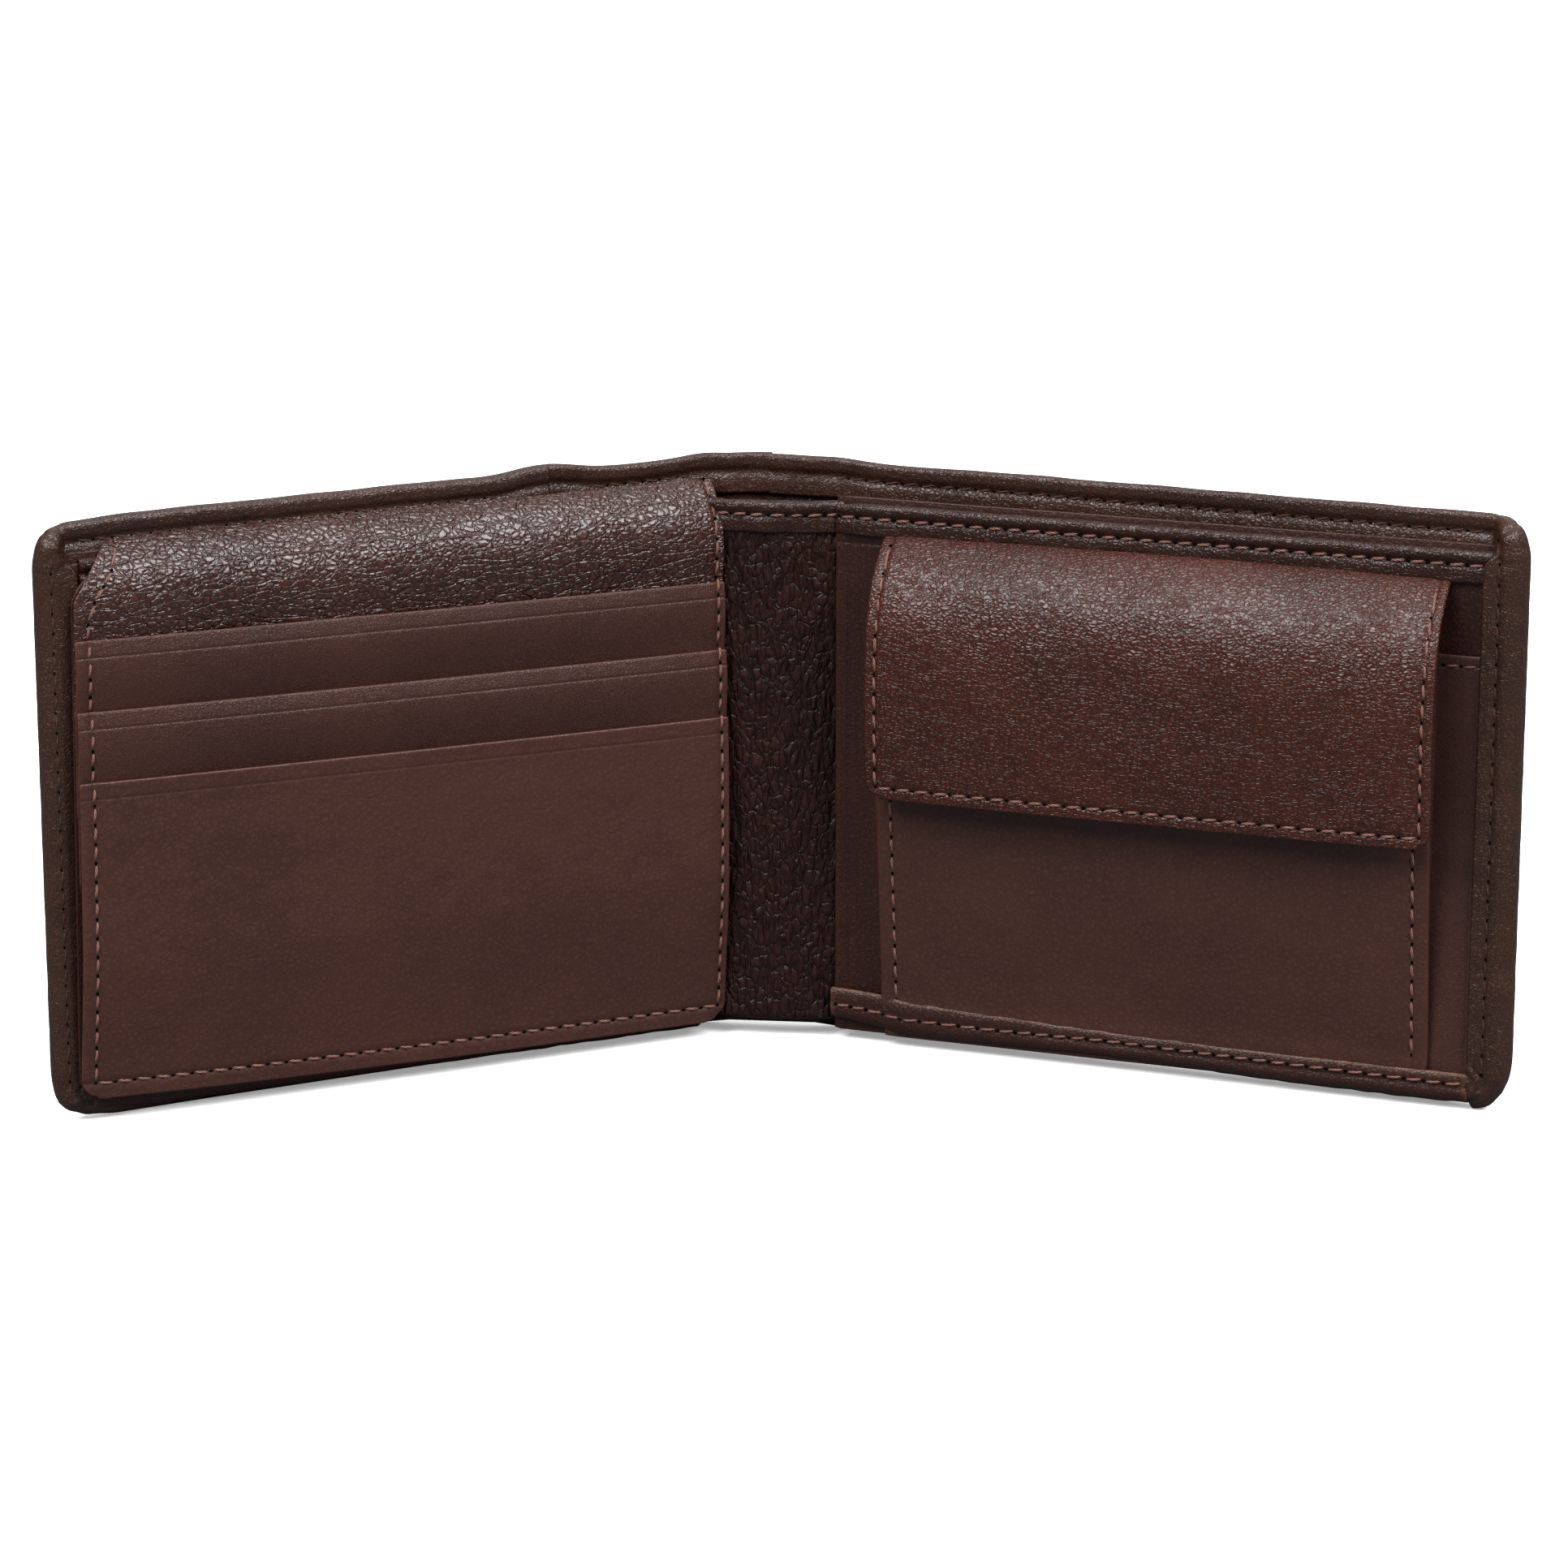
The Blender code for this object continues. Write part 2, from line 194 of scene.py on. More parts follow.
def sewn_dents(x, seams, width, depth):
    """The leather pulled in along two upright seams."""
    return dent(x - seams[0], width, depth) + dent(x - seams[1], width, depth)


def line_height(line, y):
    """Height of a sampled (y, height) line."""
    return np.interp(y, line[:, 0], line[:, 1])


def to_left(flat, *grids):
    """Grids of points mirrored to the left half, and their flat coordinates."""
    mirrored = [grid[:, ::-1].copy() for grid in (*grids, flat)]
    for grid in mirrored:
        grid[..., 0] *= -1
    mirrored[-1][..., 0] += LEFT_GRAIN
    return mirrored


def normals(points):
    """Unit normals of a grid of points."""
    up = np.gradient(points, axis=0)
    across = np.gradient(points, axis=1)
    out = np.cross(across, up)
    return out / np.maximum(np.linalg.norm(out, axis=-1, keepdims=True), 1e-9)


def surface(span, profile, step=1.0, fine_x=(), fine_y=(), lift=None, side=1, trim=None):
    """Front face of a piece: rows up a (y, w) profile, columns over the x span.

    Returns the points and their flat coordinates. side -1 mirrors it to the left.
    trim(x, run) moves grid points sideways for rounded or clipped corners.
    """
    samples, run = spline(profile)
    # Turn the y positions that need detail into distances along the profile
    order = np.argsort(samples[:, 0], kind="stable")
    fine_run = np.interp(fine_y, samples[order, 0], run[order]) if len(fine_y) else ()
    rows = spread(0.0, run[-1], step, fine_run)
    columns = spread(span[0], span[1], step, fine_x)
    x, along = np.meshgrid(columns, rows)
    if trim:
        x = trim(x, along)
    y = np.interp(along, run, samples[:, 0])
    w = np.interp(along, run, samples[:, 1])
    points = np.stack((x, y, w), axis=-1)
    if lift:
        points = points + normals(points) * lift(x, along)[..., None]
    flat = np.stack((x, along), axis=-1)
    return (points, flat) if side > 0 else to_left(flat, points)


def thin_columns(face, step):
    """Drop columns that lie closer together than step, keeping the two ends."""
    points, flat = face
    xs = flat[0, :, 0]
    keep = [0]
    for j in range(1, len(xs) - 1):
        if abs(xs[j] - xs[keep[-1]]) >= step:
            keep.append(j)
    keep.append(len(xs) - 1)
    return points[:, keep], flat[:, keep]


def round_corners(span, length, corners, across, up=None):
    """A trim function for rounded corners, each (right, top) as booleans."""
    up = up or across

    def trim(x, along):
        x = x.copy()
        for right, top in corners:
            near = length - along if top else along
            t = np.clip(1 - near / up, 0, 1)
            inset = across * (1 - np.sqrt(1 - t**2))
            from_edge = span[1] - x if right else x - span[0]
            share = np.clip(1 - from_edge / (3 * across), 0, 1)
            x += (-1 if right else 1) * inset * share
        return x

    return trim


def put_in_scene(name, data):
    item = bpy.data.objects.new(name, data)
    bpy.context.scene.collection.objects.link(item)
    return item


def finish_mesh(name, points, faces, kinds, paints, extra):
    """A smooth mesh object with its material slots and point attributes."""
    data = bpy.data.meshes.new(name)
    data.from_pydata(points.tolist(), [], faces)
    data.polygons.foreach_set("material_index", kinds)
    data.polygons.foreach_set("use_smooth", [True] * len(faces))
    for paint in paints:
        data.materials.append(paint)
    for key, values in extra.items():
        kind = "FLOAT_VECTOR" if values.ndim == 2 else "FLOAT"
        field = "vector" if values.ndim == 2 else "value"
        layer = data.attributes.new(key, kind, "POINT")
        layer.data.foreach_set(field, values.astype(np.float32).ravel())
    data.update()
    return put_in_scene(name, data)


def ready(piece, body=None, nodes=()):
    """Hide the CAD nodes a piece replaces and, if it doesn't bend, attach it to its body."""
    if nodes:
        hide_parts(*nodes)
    if body:
        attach(piece, body)
    return piece


def hide(name, face, thick, place, paint, back=None, rolls=5):
    """One closed piece of leather from its front face, with rounded edges all round."""
    front, flat = face
    n, m = front.shape[:2]
    if back is None:
        back = front - normals(front) * thick
    ring = (
        [(0, j) for j in range(m)]
        + [(i, m - 1) for i in range(1, n)]
        + [(n - 1, j) for j in range(m - 2, -1, -1)]
        + [(i, 0) for i in range(n - 2, 0, -1)]
    )
    row, column = np.array(ring).T
    rim_front, rim_back = front[row, column], back[row, column]
    middle, reach = (rim_front + rim_back) / 2, (rim_front - rim_back) / 2
    size = np.linalg.norm(reach, axis=1, keepdims=True)
    along = np.roll(middle, -1, axis=0) - np.roll(middle, 1, axis=0)
    out = np.cross(along, reach)
    out /= np.maximum(np.linalg.norm(out, axis=1, keepdims=True), 1e-9)
    rim_flat = flat[row, column]
    loops, loop_flat = [], []
    for k in range(1, rolls):
        angle = math.pi * k / rolls
        loops.append(middle + reach * math.cos(angle) + out * size * math.sin(angle))
        loop_flat.append(np.column_stack((rim_flat + out[:, :2] * size * angle, -size * angle)))
    count, total = len(ring), n * m
    points = np.vstack([front.reshape(-1, 3), *loops, back.reshape(-1, 3)])
    flat = flat.reshape(-1, 2)
    depth = np.linalg.norm(front - back, axis=-1).reshape(-1, 1)
    layout = np.vstack([np.hstack((flat, 0 * depth)), *loop_flat, np.hstack((flat, -3 * depth))])
    edge = np.concatenate([np.zeros(total)] + [np.ones(count)] * (rolls - 1) + [np.zeros(total)])
    edge_front = row * m + column
    edge[edge_front] = 0.6
    base = total + count * (rolls - 1)
    levels = [edge_front]
    levels += [total + k * count + np.arange(count) for k in range(rolls - 1)]
    levels.append(base + edge_front)
    faces = []
    for i in range(n - 1):
        for j in range(m - 1):
            a = i * m + j
            faces.append((a, a + 1, a + m + 1, a + m))
            faces.append((base + a, base + a + m, base + a + m + 1, base + a + 1))
    for upper, lower in zip(levels, levels[1:]):
        for k in range(count):
            after = (k + 1) % count
            faces.append((upper[k], lower[k], lower[after], upper[after]))
    faces = [tuple(int(v) for v in face) for face in faces]
    extra = {"layout": layout, "edge": edge}
    return finish_mesh(name, place(points), faces, [0] * len(faces), [paint], extra)


def tube_faces(start, rings, around, turned=False):
    """Faces of a closed tube of rings of points; turned tubes are wound the other way."""
    faces = []
    for i in range(rings - 1):
        for r in range(around):
            a, b = start + i * around + r, start + i * around + (r + 1) % around
            face = (a, b, b + around, a + around)
            faces.append((a, *face[:0:-1]) if turned else face)
    first = tuple(start + r for r in range(around))
    last = tuple(start + (rings - 1) * around + r for r in range(around))
    return faces + ([first, last[::-1]] if turned else [first[::-1], last])


STITCH = (0.02, 0.14, 0.32, 0.5, 0.68, 0.86, 0.98)  # rings along a stitch, as shares
NEEDLE_HOLE = ((-0.12, 0.24), (0.05, 0.27), (0.09, 0.16))  # height and radius of its rings


def sew(
    name, path, height, place, thread, nodes, body=None,
    side=1, radius=0.24, slant=0.12, pitch=PITCH,
):  # fmt: skip
    """Saddle stitches along a path of (x, y) points, with a needle hole between them painted
    near-black as its shade.
    """
    points, faces, kinds, layout = [], [], [], []
    spots = [np.array(p, float) for p in path]
    for begin, end in zip(spots, spots[1:]):
        length = np.linalg.norm(end - begin)
        count = max(1, round(length / pitch))
        ahead = (end - begin) / length
        across = np.array((ahead[1], -ahead[0]))
        gap = length / count
        for k in range(count):
            first = begin + ahead * gap * k
            around = 6
            tube = tube_faces(len(points), len(STITCH), around)
            for t in STITCH:
                spot = first + ahead * gap * (0.13 + 0.74 * t) + across * slant * (1 - 2 * t)
                rise = radius * (1.5 * math.sin(math.pi * t) - 0.9)
                middle = float(height(spot[0], spot[1])) + rise
                wide = radius * (0.8 + 0.25 * math.sin(math.pi * t))
                for r in range(around):
                    turn = math.tau * r / around
                    beside = spot + across * wide * math.cos(turn)
                    points.append((*beside, middle + wide * math.sin(turn)))
                    layout.append((k * 7.0 + t * gap, turn, float(k)))
            # The needle hole is a small lens sunk in the leather, coloured near-black as painted
            # shade inside the hole
            around = 8
            lens = tube_faces(len(points), len(NEEDLE_HOLE), around, turned=True)
            base = float(height(first[0], first[1]))
            for level, wide in NEEDLE_HOLE:
                for r in range(around):
                    turn = math.tau * r / around
                    spot = ahead * 1.25 * wide * math.cos(turn) + across * wide * math.sin(turn)
                    points.append((*(first + spot), base + level))
                    layout.append((0.0, 0.0, 0.0))
            faces += tube + lens
            kinds += [0] * len(tube) + [1] * len(lens)
    points = np.array(points)
    if side < 0:
        points[:, 0] *= -1
        faces = [face[::-1] for face in faces]
    extra = {"layout": np.array(layout)}
    seam = finish_mesh(name, place(points), faces, kinds, [thread, HOLE_SHADE], extra)
    return ready(seam, body, nodes)


# ---------------------------------------------------------------- materials
def srgb(red, green, blue):
    """A screen colour as linear values."""
    values = []
    for level in (red, green, blue):
        c = level / 255
        values.append(c / 12.92 if c <= 0.04045 else ((c + 0.055) / 1.055) ** 2.4)
    return (*values, 1.0)


class Tree:
    """Short calls for building a material's nodes."""

    def __init__(self, name):
        self.material = bpy.data.materials.new(name)
        self.material.use_nodes = True
        self.nodes = self.material.node_tree.nodes
        self.links = self.material.node_tree.links
        self.shader = self.nodes["Principled BSDF"]

    def add(self, kind, values=None, **settings):
        node = self.nodes.new(kind)
        for key, value in settings.items():
            setattr(node, key, value)
        for key, value in (values or {}).items():
            if isinstance(value, bpy.types.NodeSocket):
                self.links.new(value, node.inputs[key])
            else:
                node.inputs[key].default_value = value
        return node

    def set(self, **values):
        for key, value in values.items():
            self.shader.inputs[key.replace("_", " ")].default_value = value

    def link(self, socket, key):
        self.links.new(socket, self.shader.inputs[key])

    def math(self, operation, a, b=0.0):
        return self.add("ShaderNodeMath", {0: a, 1: b}, operation=operation).outputs[0]

    def ramp(self, value, low, high, out_low=0.0, out_high=1.0):
        values = {"Value": value, "From Min": low, "From Max": high}
        values.update({"To Min": out_low, "To Max": out_high})
        node = self.add("ShaderNodeMapRange", values, interpolation_type="SMOOTHSTEP")
        return node.outputs["Result"]

    def mix(self, share, a, b):
        return self.add("ShaderNodeMix", {0: share, 6: a, 7: b}, data_type="RGBA").outputs[2]

    def layout(self):
        """Each point's place in the flat leather, in millimetres."""
        return self.add("ShaderNodeAttribute", attribute_name="layout").outputs["Vector"]

    def noise(self, vector, scale, detail=2.0, roughness=0.5):
        values = {"Vector": vector, "Scale": scale, "Detail": detail, "Roughness": roughness}
        return self.add("ShaderNodeTexNoise", values)


def leather(
    name,
    colour,
    deep,
    cell=1.2,
    pebble=0.05,
    crack=0.0,
    fine=0.45,
    grit=0.02,
    rough=0.45,
    stretch=(1.0, 1.0, 1.0),
    warp=0.7,
    crease=0.0,
    lines=0.0,
    line_stretch=(0.3, 1.0, 1.0),
    worn=(0.0, (0, 0, 0, 1)),
    gloss=0.35,
    mottle=0.25,
):
    """Dyed leather. Sizes and depths are millimetres.

    cell, pebble and crack: size of the grain's cells, height of their domes and depth of
    the cracks between them; fine and grit: size and depth of the pores; crease: depth of
    soft wrinkles; lines: depth of long cracks; worn: share and colour of rubbed edges.
    """
    t = Tree(name)
    place = t.layout()

    def cells(scales, size, push):
        scaled = t.add("ShaderNodeMapping", {"Vector": place, "Scale": scales}).outputs[0]
        drift = t.noise(scaled, 1 / (size * 2.2), 2.0).outputs["Color"]
        centred = t.add(
            "ShaderNodeVectorMath", {0: drift, 1: (0.5, 0.5, 0.5)}, operation="SUBTRACT"
        ).outputs[0]
        pushed = t.add("ShaderNodeVectorMath", {0: centred}, operation="SCALE")
        pushed.inputs["Scale"].default_value = push * size * 2
        moved = t.add("ShaderNodeVectorMath", {0: scaled, 1: pushed.outputs[0]}, operation="ADD")
        values = {"Vector": moved.outputs[0], "Scale": 1 / size}
        return t.add("ShaderNodeTexVoronoi", values, feature="DISTANCE_TO_EDGE").outputs["Distance"]

    grain = cells(stretch, cell, warp)
    domes, cracks = t.ramp(grain, 0.0, 0.5), t.ramp(grain, 0.0, 0.13)
    # Grain is stronger in some places than in others
    patch = t.ramp(t.noise(place, 0.06, 2.0).outputs["Fac"], 0.3, 0.7, 0.55, 1.0)
    pores = t.noise(place, 1 / fine, 3.0, 0.6).outputs["Fac"]
    wrinkles = t.noise(place, 0.16, 3.0, 0.55).outputs["Fac"]
    heights = [(wrinkles, crease), (t.math("MULTIPLY", domes, patch), pebble), (cracks, crack)]
    if lines:
        heights.append((t.ramp(cells(line_stretch, 1.7, 1.1), 0.0, 0.07), lines))
    bump = None
    for height, depth in heights + [(pores, grit)]:
        if depth:
            values = {"Height": height, "Distance": depth * MM, "Strength": 1.0}
            if bump:
                values["Normal"] = bump
            bump = t.add("ShaderNodeBump", values).outputs["Normal"]
    t.link(bump, "Normal")
    dark_pores = t.ramp(pores, 0.3, 0.7, 0.75, 1.0)
    shade = t.math("MULTIPLY", t.ramp(grain, 0.0, 0.3, 0.3, 1.0), dark_pores)
    base = t.mix(shade, deep, colour)
    clouds = t.ramp(t.noise(place, 0.035, 3.0, 0.6).outputs["Fac"], 0.3, 0.7, 0.0, mottle)
    base = t.mix(clouds, base, (*(c * f for c, f in zip(colour, (1.5, 1.4, 1.35))), 1.0))
    if worn[0]:
        edge = t.add("ShaderNodeAttribute", attribute_name="edge").outputs["Fac"]
        rub = t.ramp(t.noise(place, 0.35, 3.0, 0.7).outputs["Fac"], 0.35, 0.65, 0.25, 1.0)
        base = t.mix(t.math("MULTIPLY", t.math("MULTIPLY", edge, rub), worn[0]), base, worn[1])
    t.link(base, "Base Color")
    t.link(t.ramp(pores, 0.25, 0.75, rough + 0.07, rough - 0.07), "Roughness")
    t.set(Specular_IOR_Level=gloss)
    return t.material


def cloth(name, colour, deep):
    """Fine twill: diagonal ribs about 0.5 mm apart."""
    t = Tree(name)
    place = t.layout()
    ribs = t.add(
        "ShaderNodeTexWave",
        {"Vector": place, "Scale": 0.45, "Distortion": 0.6, "Detail": 1.0},
        bands_direction="DIAGONAL",
    ).outputs["Fac"]
    t.link(t.mix(ribs, deep, colour), "Base Color")
    bump = t.add("ShaderNodeBump", {"Height": ribs, "Distance": 0.0001, "Strength": 0.7})
    t.link(bump.outputs["Normal"], "Normal")
    t.set(Roughness=0.85, Specular_IOR_Level=0.2, Sheen_Weight=0.2)
    return t.material


def thread_paint(name, colour, deep):
    """Twisted thread: slanting plies along each stitch."""
    t = Tree(name)
    place = t.layout()
    plies = t.add(
        "ShaderNodeTexWave", {"Vector": place, "Scale": 0.55}, bands_direction="DIAGONAL"
    ).outputs["Fac"]
    tone = t.noise(place, 0.6, 2.0).outputs["Fac"]
    shade = t.math("MULTIPLY", plies, t.ramp(tone, 0.3, 0.7, 0.5, 1.0))
    t.link(t.mix(shade, deep, colour), "Base Color")
    bump = t.add("ShaderNodeBump", {"Height": plies, "Distance": 0.00008, "Strength": 0.8})
    t.link(bump.outputs["Normal"], "Normal")
    t.set(Roughness=0.6, Specular_IOR_Level=0.35)
    return t.material


def plain(name, colour, roughness, metallic=0.0, gloss=0.3):
    t = Tree(name)
    place = t.add("ShaderNodeTexCoord").outputs["Object"]
    tone = t.noise(place, 1800.0, 2.0).outputs["Fac"]
    t.link(t.mix(tone, colour, tuple(c * 0.75 for c in colour[:3]) + (1.0,)), "Base Color")
    t.link(t.ramp(tone, 0.3, 0.7, roughness - 0.06, roughness + 0.06), "Roughness")
    t.set(Metallic=metallic, Specular_IOR_Level=gloss)
    return t.material


RED_EDGE = srgb(84, 48, 38)
COVER = leather(
    "cover_leather", srgb(66, 40, 30), srgb(30, 16, 11), cell=0.65, pebble=0.055, crack=0.02,
    fine=0.4, grit=0.028, rough=0.3, crease=0.35, gloss=0.5, warp=0.9,
    worn=(0.15, srgb(80, 52, 38)),
)  # fmt: skip
INNER = leather(
    "inner_leather", srgb(58, 27, 20), srgb(28, 12, 9), cell=0.8, pebble=0.04, crack=0.015,
    fine=0.45, grit=0.03, rough=0.42, crease=0.2, gloss=0.4, worn=(0.3, RED_EDGE),
)  # fmt: skip
BINDING = leather(
    "binding_leather", srgb(54, 29, 22), srgb(26, 13, 9), cell=0.65, pebble=0.08, crack=0.02,
    fine=0.35, grit=0.03, rough=0.3, crease=0.4, gloss=0.42, worn=(0.2, RED_EDGE),
)  # fmt: skip
STRIP = leather(
    "strip_leather", srgb(44, 19, 13), srgb(12, 5, 3), cell=1.2, pebble=0.16, crack=0.08,
    fine=0.5, grit=0.03, rough=0.42, stretch=(1.0, 0.5, 1.0), crease=0.4, gloss=0.36,
    warp=1.0, lines=0.08, line_stretch=(1.1, 0.22, 1.0),
)  # fmt: skip
TOP_GRAIN = leather(
    "leaf_top_leather", srgb(70, 38, 30), srgb(24, 11, 8), cell=1.05, pebble=0.07, crack=0.06,
    fine=0.5, grit=0.025, rough=0.23, stretch=(0.9, 1.1, 1.0), crease=0.3, gloss=0.7,
    warp=0.8, lines=0.08, line_stretch=(0.28, 0.8, 1.0), worn=(0.3, RED_EDGE),
)  # fmt: skip
SLOT = leather(
    "slot_leather", srgb(75, 44, 37), srgb(46, 26, 21), cell=0.45, pebble=0.03, crack=0.012,
    fine=0.35, grit=0.025, rough=0.4, crease=0.2, gloss=0.45, worn=(0.35, srgb(104, 62, 50)),
)  # fmt: skip
SMOOTH = leather(
    "leaf_leather", srgb(76, 46, 40), srgb(58, 34, 29), cell=0.9, pebble=0.02, crack=0.008,
    fine=0.4, grit=0.02, rough=0.42, crease=0.3, gloss=0.4, lines=0.01,
    line_stretch=(0.5, 0.4, 1.0), worn=(0.35, srgb(98, 58, 48)), mottle=0.25,
)  # fmt: skip
FLAP_HIDE = leather(
    "flap_leather", srgb(76, 34, 24), srgb(26, 10, 7), cell=0.75, pebble=0.08, crack=0.03,
    fine=0.4, grit=0.022, rough=0.26, stretch=(0.85, 1.2, 1.0), crease=0.35, gloss=0.49,
    warp=0.9, worn=(0.3, RED_EDGE),
)  # fmt: skip
POCKET = leather(
    "pocket_leather", srgb(77, 48, 41), srgb(56, 33, 28), cell=0.9, pebble=0.02, crack=0.008,
    fine=0.4, grit=0.02, rough=0.42, crease=0.25, gloss=0.4, worn=(0.3, RED_EDGE),
    mottle=0.3,
)  # fmt: skip
RAW = leather(
    "raw_edge_leather", srgb(66, 37, 30), srgb(36, 19, 15), cell=0.7, pebble=0.05, crack=0.02,
    fine=0.4, grit=0.03, rough=0.4, crease=0.2, gloss=0.4, worn=(0.55, srgb(146, 100, 78)),
)  # fmt: skip
TWILL = cloth("lining_cloth", srgb(38, 29, 26), srgb(20, 15, 13))
PALE_THREAD = thread_paint("pale_thread", srgb(172, 128, 116), srgb(96, 62, 54))
DARK_THREAD = thread_paint("dark_thread", srgb(104, 70, 58), srgb(52, 32, 26))
# Near-black paint on the needle-hole lenses: painted shade inside the holes
HOLE_SHADE = plain("needle_hole_shade", srgb(12, 7, 6), 0.9, gloss=0.05)
STEEL = plain("stud_steel", (0.52, 0.50, 0.47, 1.0), 0.3, metallic=1.0)


# ---------------------------------------------------------------- cover
def cover_height(side):
    """Front height of the cover over distance from the fold and y."""
    raised = RAISE[side] - 0.45

    def height(d, y):
        # Turned leather gathers near the folds and is crumpled in the corners
        gather = 0.08 * wavy(d, y * 0.6, 3.2, 13) * ease((14 - d) / 12)
        crumple = 0.16 * wavy(d, y, 2.6, 7) * ease((d - 103) / 3) * ease((y - 86.5) / 3)
        turned = 0.45 + 0.05 * wavy(d, y, 5, 3) + dent(y - TOP_SEAM, 0.8, 0.4) + gather
        hem = 0.75
        if side < 0:
            turned = turned + 0.6 * ease((d - 27) / 0.4)
            hem = hem + 2.2 * ease((d - 82) / 22) * ease((2.6 - y) / 1.2)
        w = np.maximum(SUNK, SUNK + (turned - SUNK) * ease((y - TOP_TURN) / 0.35))
        w = np.maximum(w, SUNK + hem * ease((HEM - y) / 0.35))
        # The side turned edge is a pad that rounds off at its two ends
        past = np.maximum(np.clip((y - 91.2) / 3.6, 0, 1), np.clip((3.4 - y) / 3.1, 0, 1))
        pad = 0.45 + raised * np.sqrt(np.maximum(1 - past**2, 0))
        pad = pad + dent(d - SIDE_SEAM[side], 0.45, 0.3) + 0.07 * wavy(d, y, 7, 5) + crumple
        # Creases of the folded corners
        for cx, cy, slope in ((107, 6.0, -1.0), (107, 8.2, -1.1), (106.6, 90.0, 1.0)):
            off = ((y - cy) - slope * (d - cx)) / math.sqrt(2)
            pad = pad + dent(off, 0.25, 0.35) * ease((d - 106) / 0.6)
        ramp = 0.3 + 3.2 * ease((y - 87) / 4)
        return np.maximum(w, SUNK + (pad - SUNK) * ease((d - SIDE_TURN) / ramp))

    return height


def cover_lift(side, d):
    """How far the cover's top edge and its foot stand above the CAD's straight ones."""
    top = 0.75 * bell(d + FOLD, 13) - 0.25 * bell(d - 9, 8) + 0.08 * wavy(d, d * 0, 14, 17)
    foot = ease((2 - d) / 10)
    if side > 0:
        return top, foot + 0.8 * bell(d - 52, 30)
    top = top + 1.4 * bell(d - 28, 7) + 0.25 * ease((30 - d) / 20)
    return top + 0.5 * ease((d - 33) / 10) * ease((107 - d) / 12), foot


def cover(side):
    """Outer leather of one half and half the spine, with its turned edges."""
    name = SIDES[side]
    height = cover_height(side)
    span = (-FOLD, HALF + (0.7 if side > 0 else 0.4) - (RAISE[side] - BACK) / 2)
    low, high = ROLL, HEIGHT - ROLL
    rows = spread(low, high, 1.1, [88.4, TOP_SEAM, 6.6, 93.2, 1.8, 0.9, 94.0], 0.9)
    columns = spread(span[0], span[1], 0.9, [106.4, 109.1, 107.5, 0.0, 27.2], 1.0)
    d, y = np.meshgrid(columns, rows)
    d = round_corners(span, high - low, [(True, False)], 4.4 + 0.5 * side, 8.5)(d, y - low)
    d = round_corners(span, high - low, [(True, True)], 4.2, 6.2)(d, y - low)
    w = height(d, y)
    top, foot = cover_lift(side, d)
    near_top, near_foot = ease((y - 89.5) / 4.7), ease((5.5 - y) / 4.7)
    # Where the edge is thicker its roll starts further in
    thicker = (w - BACK) / 2 - ROLL
    tuck = (thicker + (0.65 + 0.25 * side) * ease((d - 102) / 5))[:1]
    tall = y + top * ease((y - 70) / 20) + foot * ease((14 - y) / 12)
    tall = tall + tuck * near_foot - thicker[-1:] * near_top
    under = 0.35 * np.clip(w[:1] - 0.45, 0, 4) * near_foot
    outer = BACK + 0.05 * np.minimum(wavy(d, y, 60, 11), 0)
    front, back = np.stack((d, tall + under, w), axis=-1), np.stack((d, tall, outer), axis=-1)
    flat = np.stack((d, y), axis=-1)
    if side < 0:
        front, back, flat = to_left(flat, front, back)
    shell = hide("cover_skin_" + name, (front, flat), 0, put_over_fold(side), COVER, back, 9)
    nodes = [f"cover_{name}", f"{name}_top_turned_edge", f"{name}_side_turned_edge"]
    nodes += ["spine_cover"] if side > 0 else ["spine_turned_edge_top", "spine_turned_edge_bottom"]
    ready(shell, nodes=nodes)
    bend_over_fold(shell, side)

    def over(d, y):
        return height(d, y) - 0.02

    nodes = [f"{name}_top_seam"] + (["spine_top_seam"] if side > 0 else [])
    path = [(-FOLD + 0.2, TOP_SEAM), (106, TOP_SEAM)]
    seam = sew(
        f"{name}_top_stitching", path, over, put_over_fold(side), DARK_THREAD, nodes,
        side=side, radius=0.16, slant=0.3,
    )  # fmt: skip
    bend_over_fold(seam, side)
    x = SIDE_SEAM[side]
    path = [(x, 91), (x, 4.2)] if side < 0 else [(x - 0.6, 91.5), (x, 88), (x, 6.5), (107.6, 4.6)]
    sew(
        f"{name}_side_stitching", path, over, put(name + "_half"), DARK_THREAD,
        [f"{name}_side_seam"], name + "_half", side, 0.17,
    )  # fmt: skip


for side in SIDES:
    cover(side)

LININGS = (("right", (0.9, 106), 1), ("left", (0.9, 106), -1), ("spine", (-10.2, 10.2), 1))
for name, span, side in LININGS:
    body = name if name == "spine" else name + "_half"
    face = surface(span, [(6.9, 0.05), (88.1, 0.05)], 2.5, side=side)
    piece = hide(name + "_lining_cloth", face, 0.25, put(body), TWILL, rolls=3)
    ready(piece, body, [name + "_lining"])


# ---------------------------------------------------------------- inner panels
def flat_piece(name, body, slot, paint, span, profile, thick, node, side=1, **more):
    """A leather piece inset for its rounded edges, riding on one body."""
    half = thick / 2
    line = [list(p) for p in profile]
    if len(line) == 2:
        line[0][0] += half
        line[1][0] -= half
    face = surface((span[0] + half, span[1] - half), line, side=side, **more)
    return ready(hide(name, face, thick, put(body), paint), body, [node])


BINDING_LINE = [
    (84.7, 2.95), (85.2, 3.0), (86.5, 2.95), (87.3, 2.66), (88.0, 3.05), (88.7, 3.15),
    (89.3, 2.9), (89.65, 2.35), (89.5, 1.8), (89.1, 1.45),
]  # fmt: skip


def binding_lift(x, along):
    ripple = wavy(x, along * 0.6, 2.2, 21) * 0.09 * ease((2.6 - along) / 1.0)
    return ripple + 0.06 * wavy(x, along, 9, 22) - 0.5 * ease((6 - x) / 4.5)


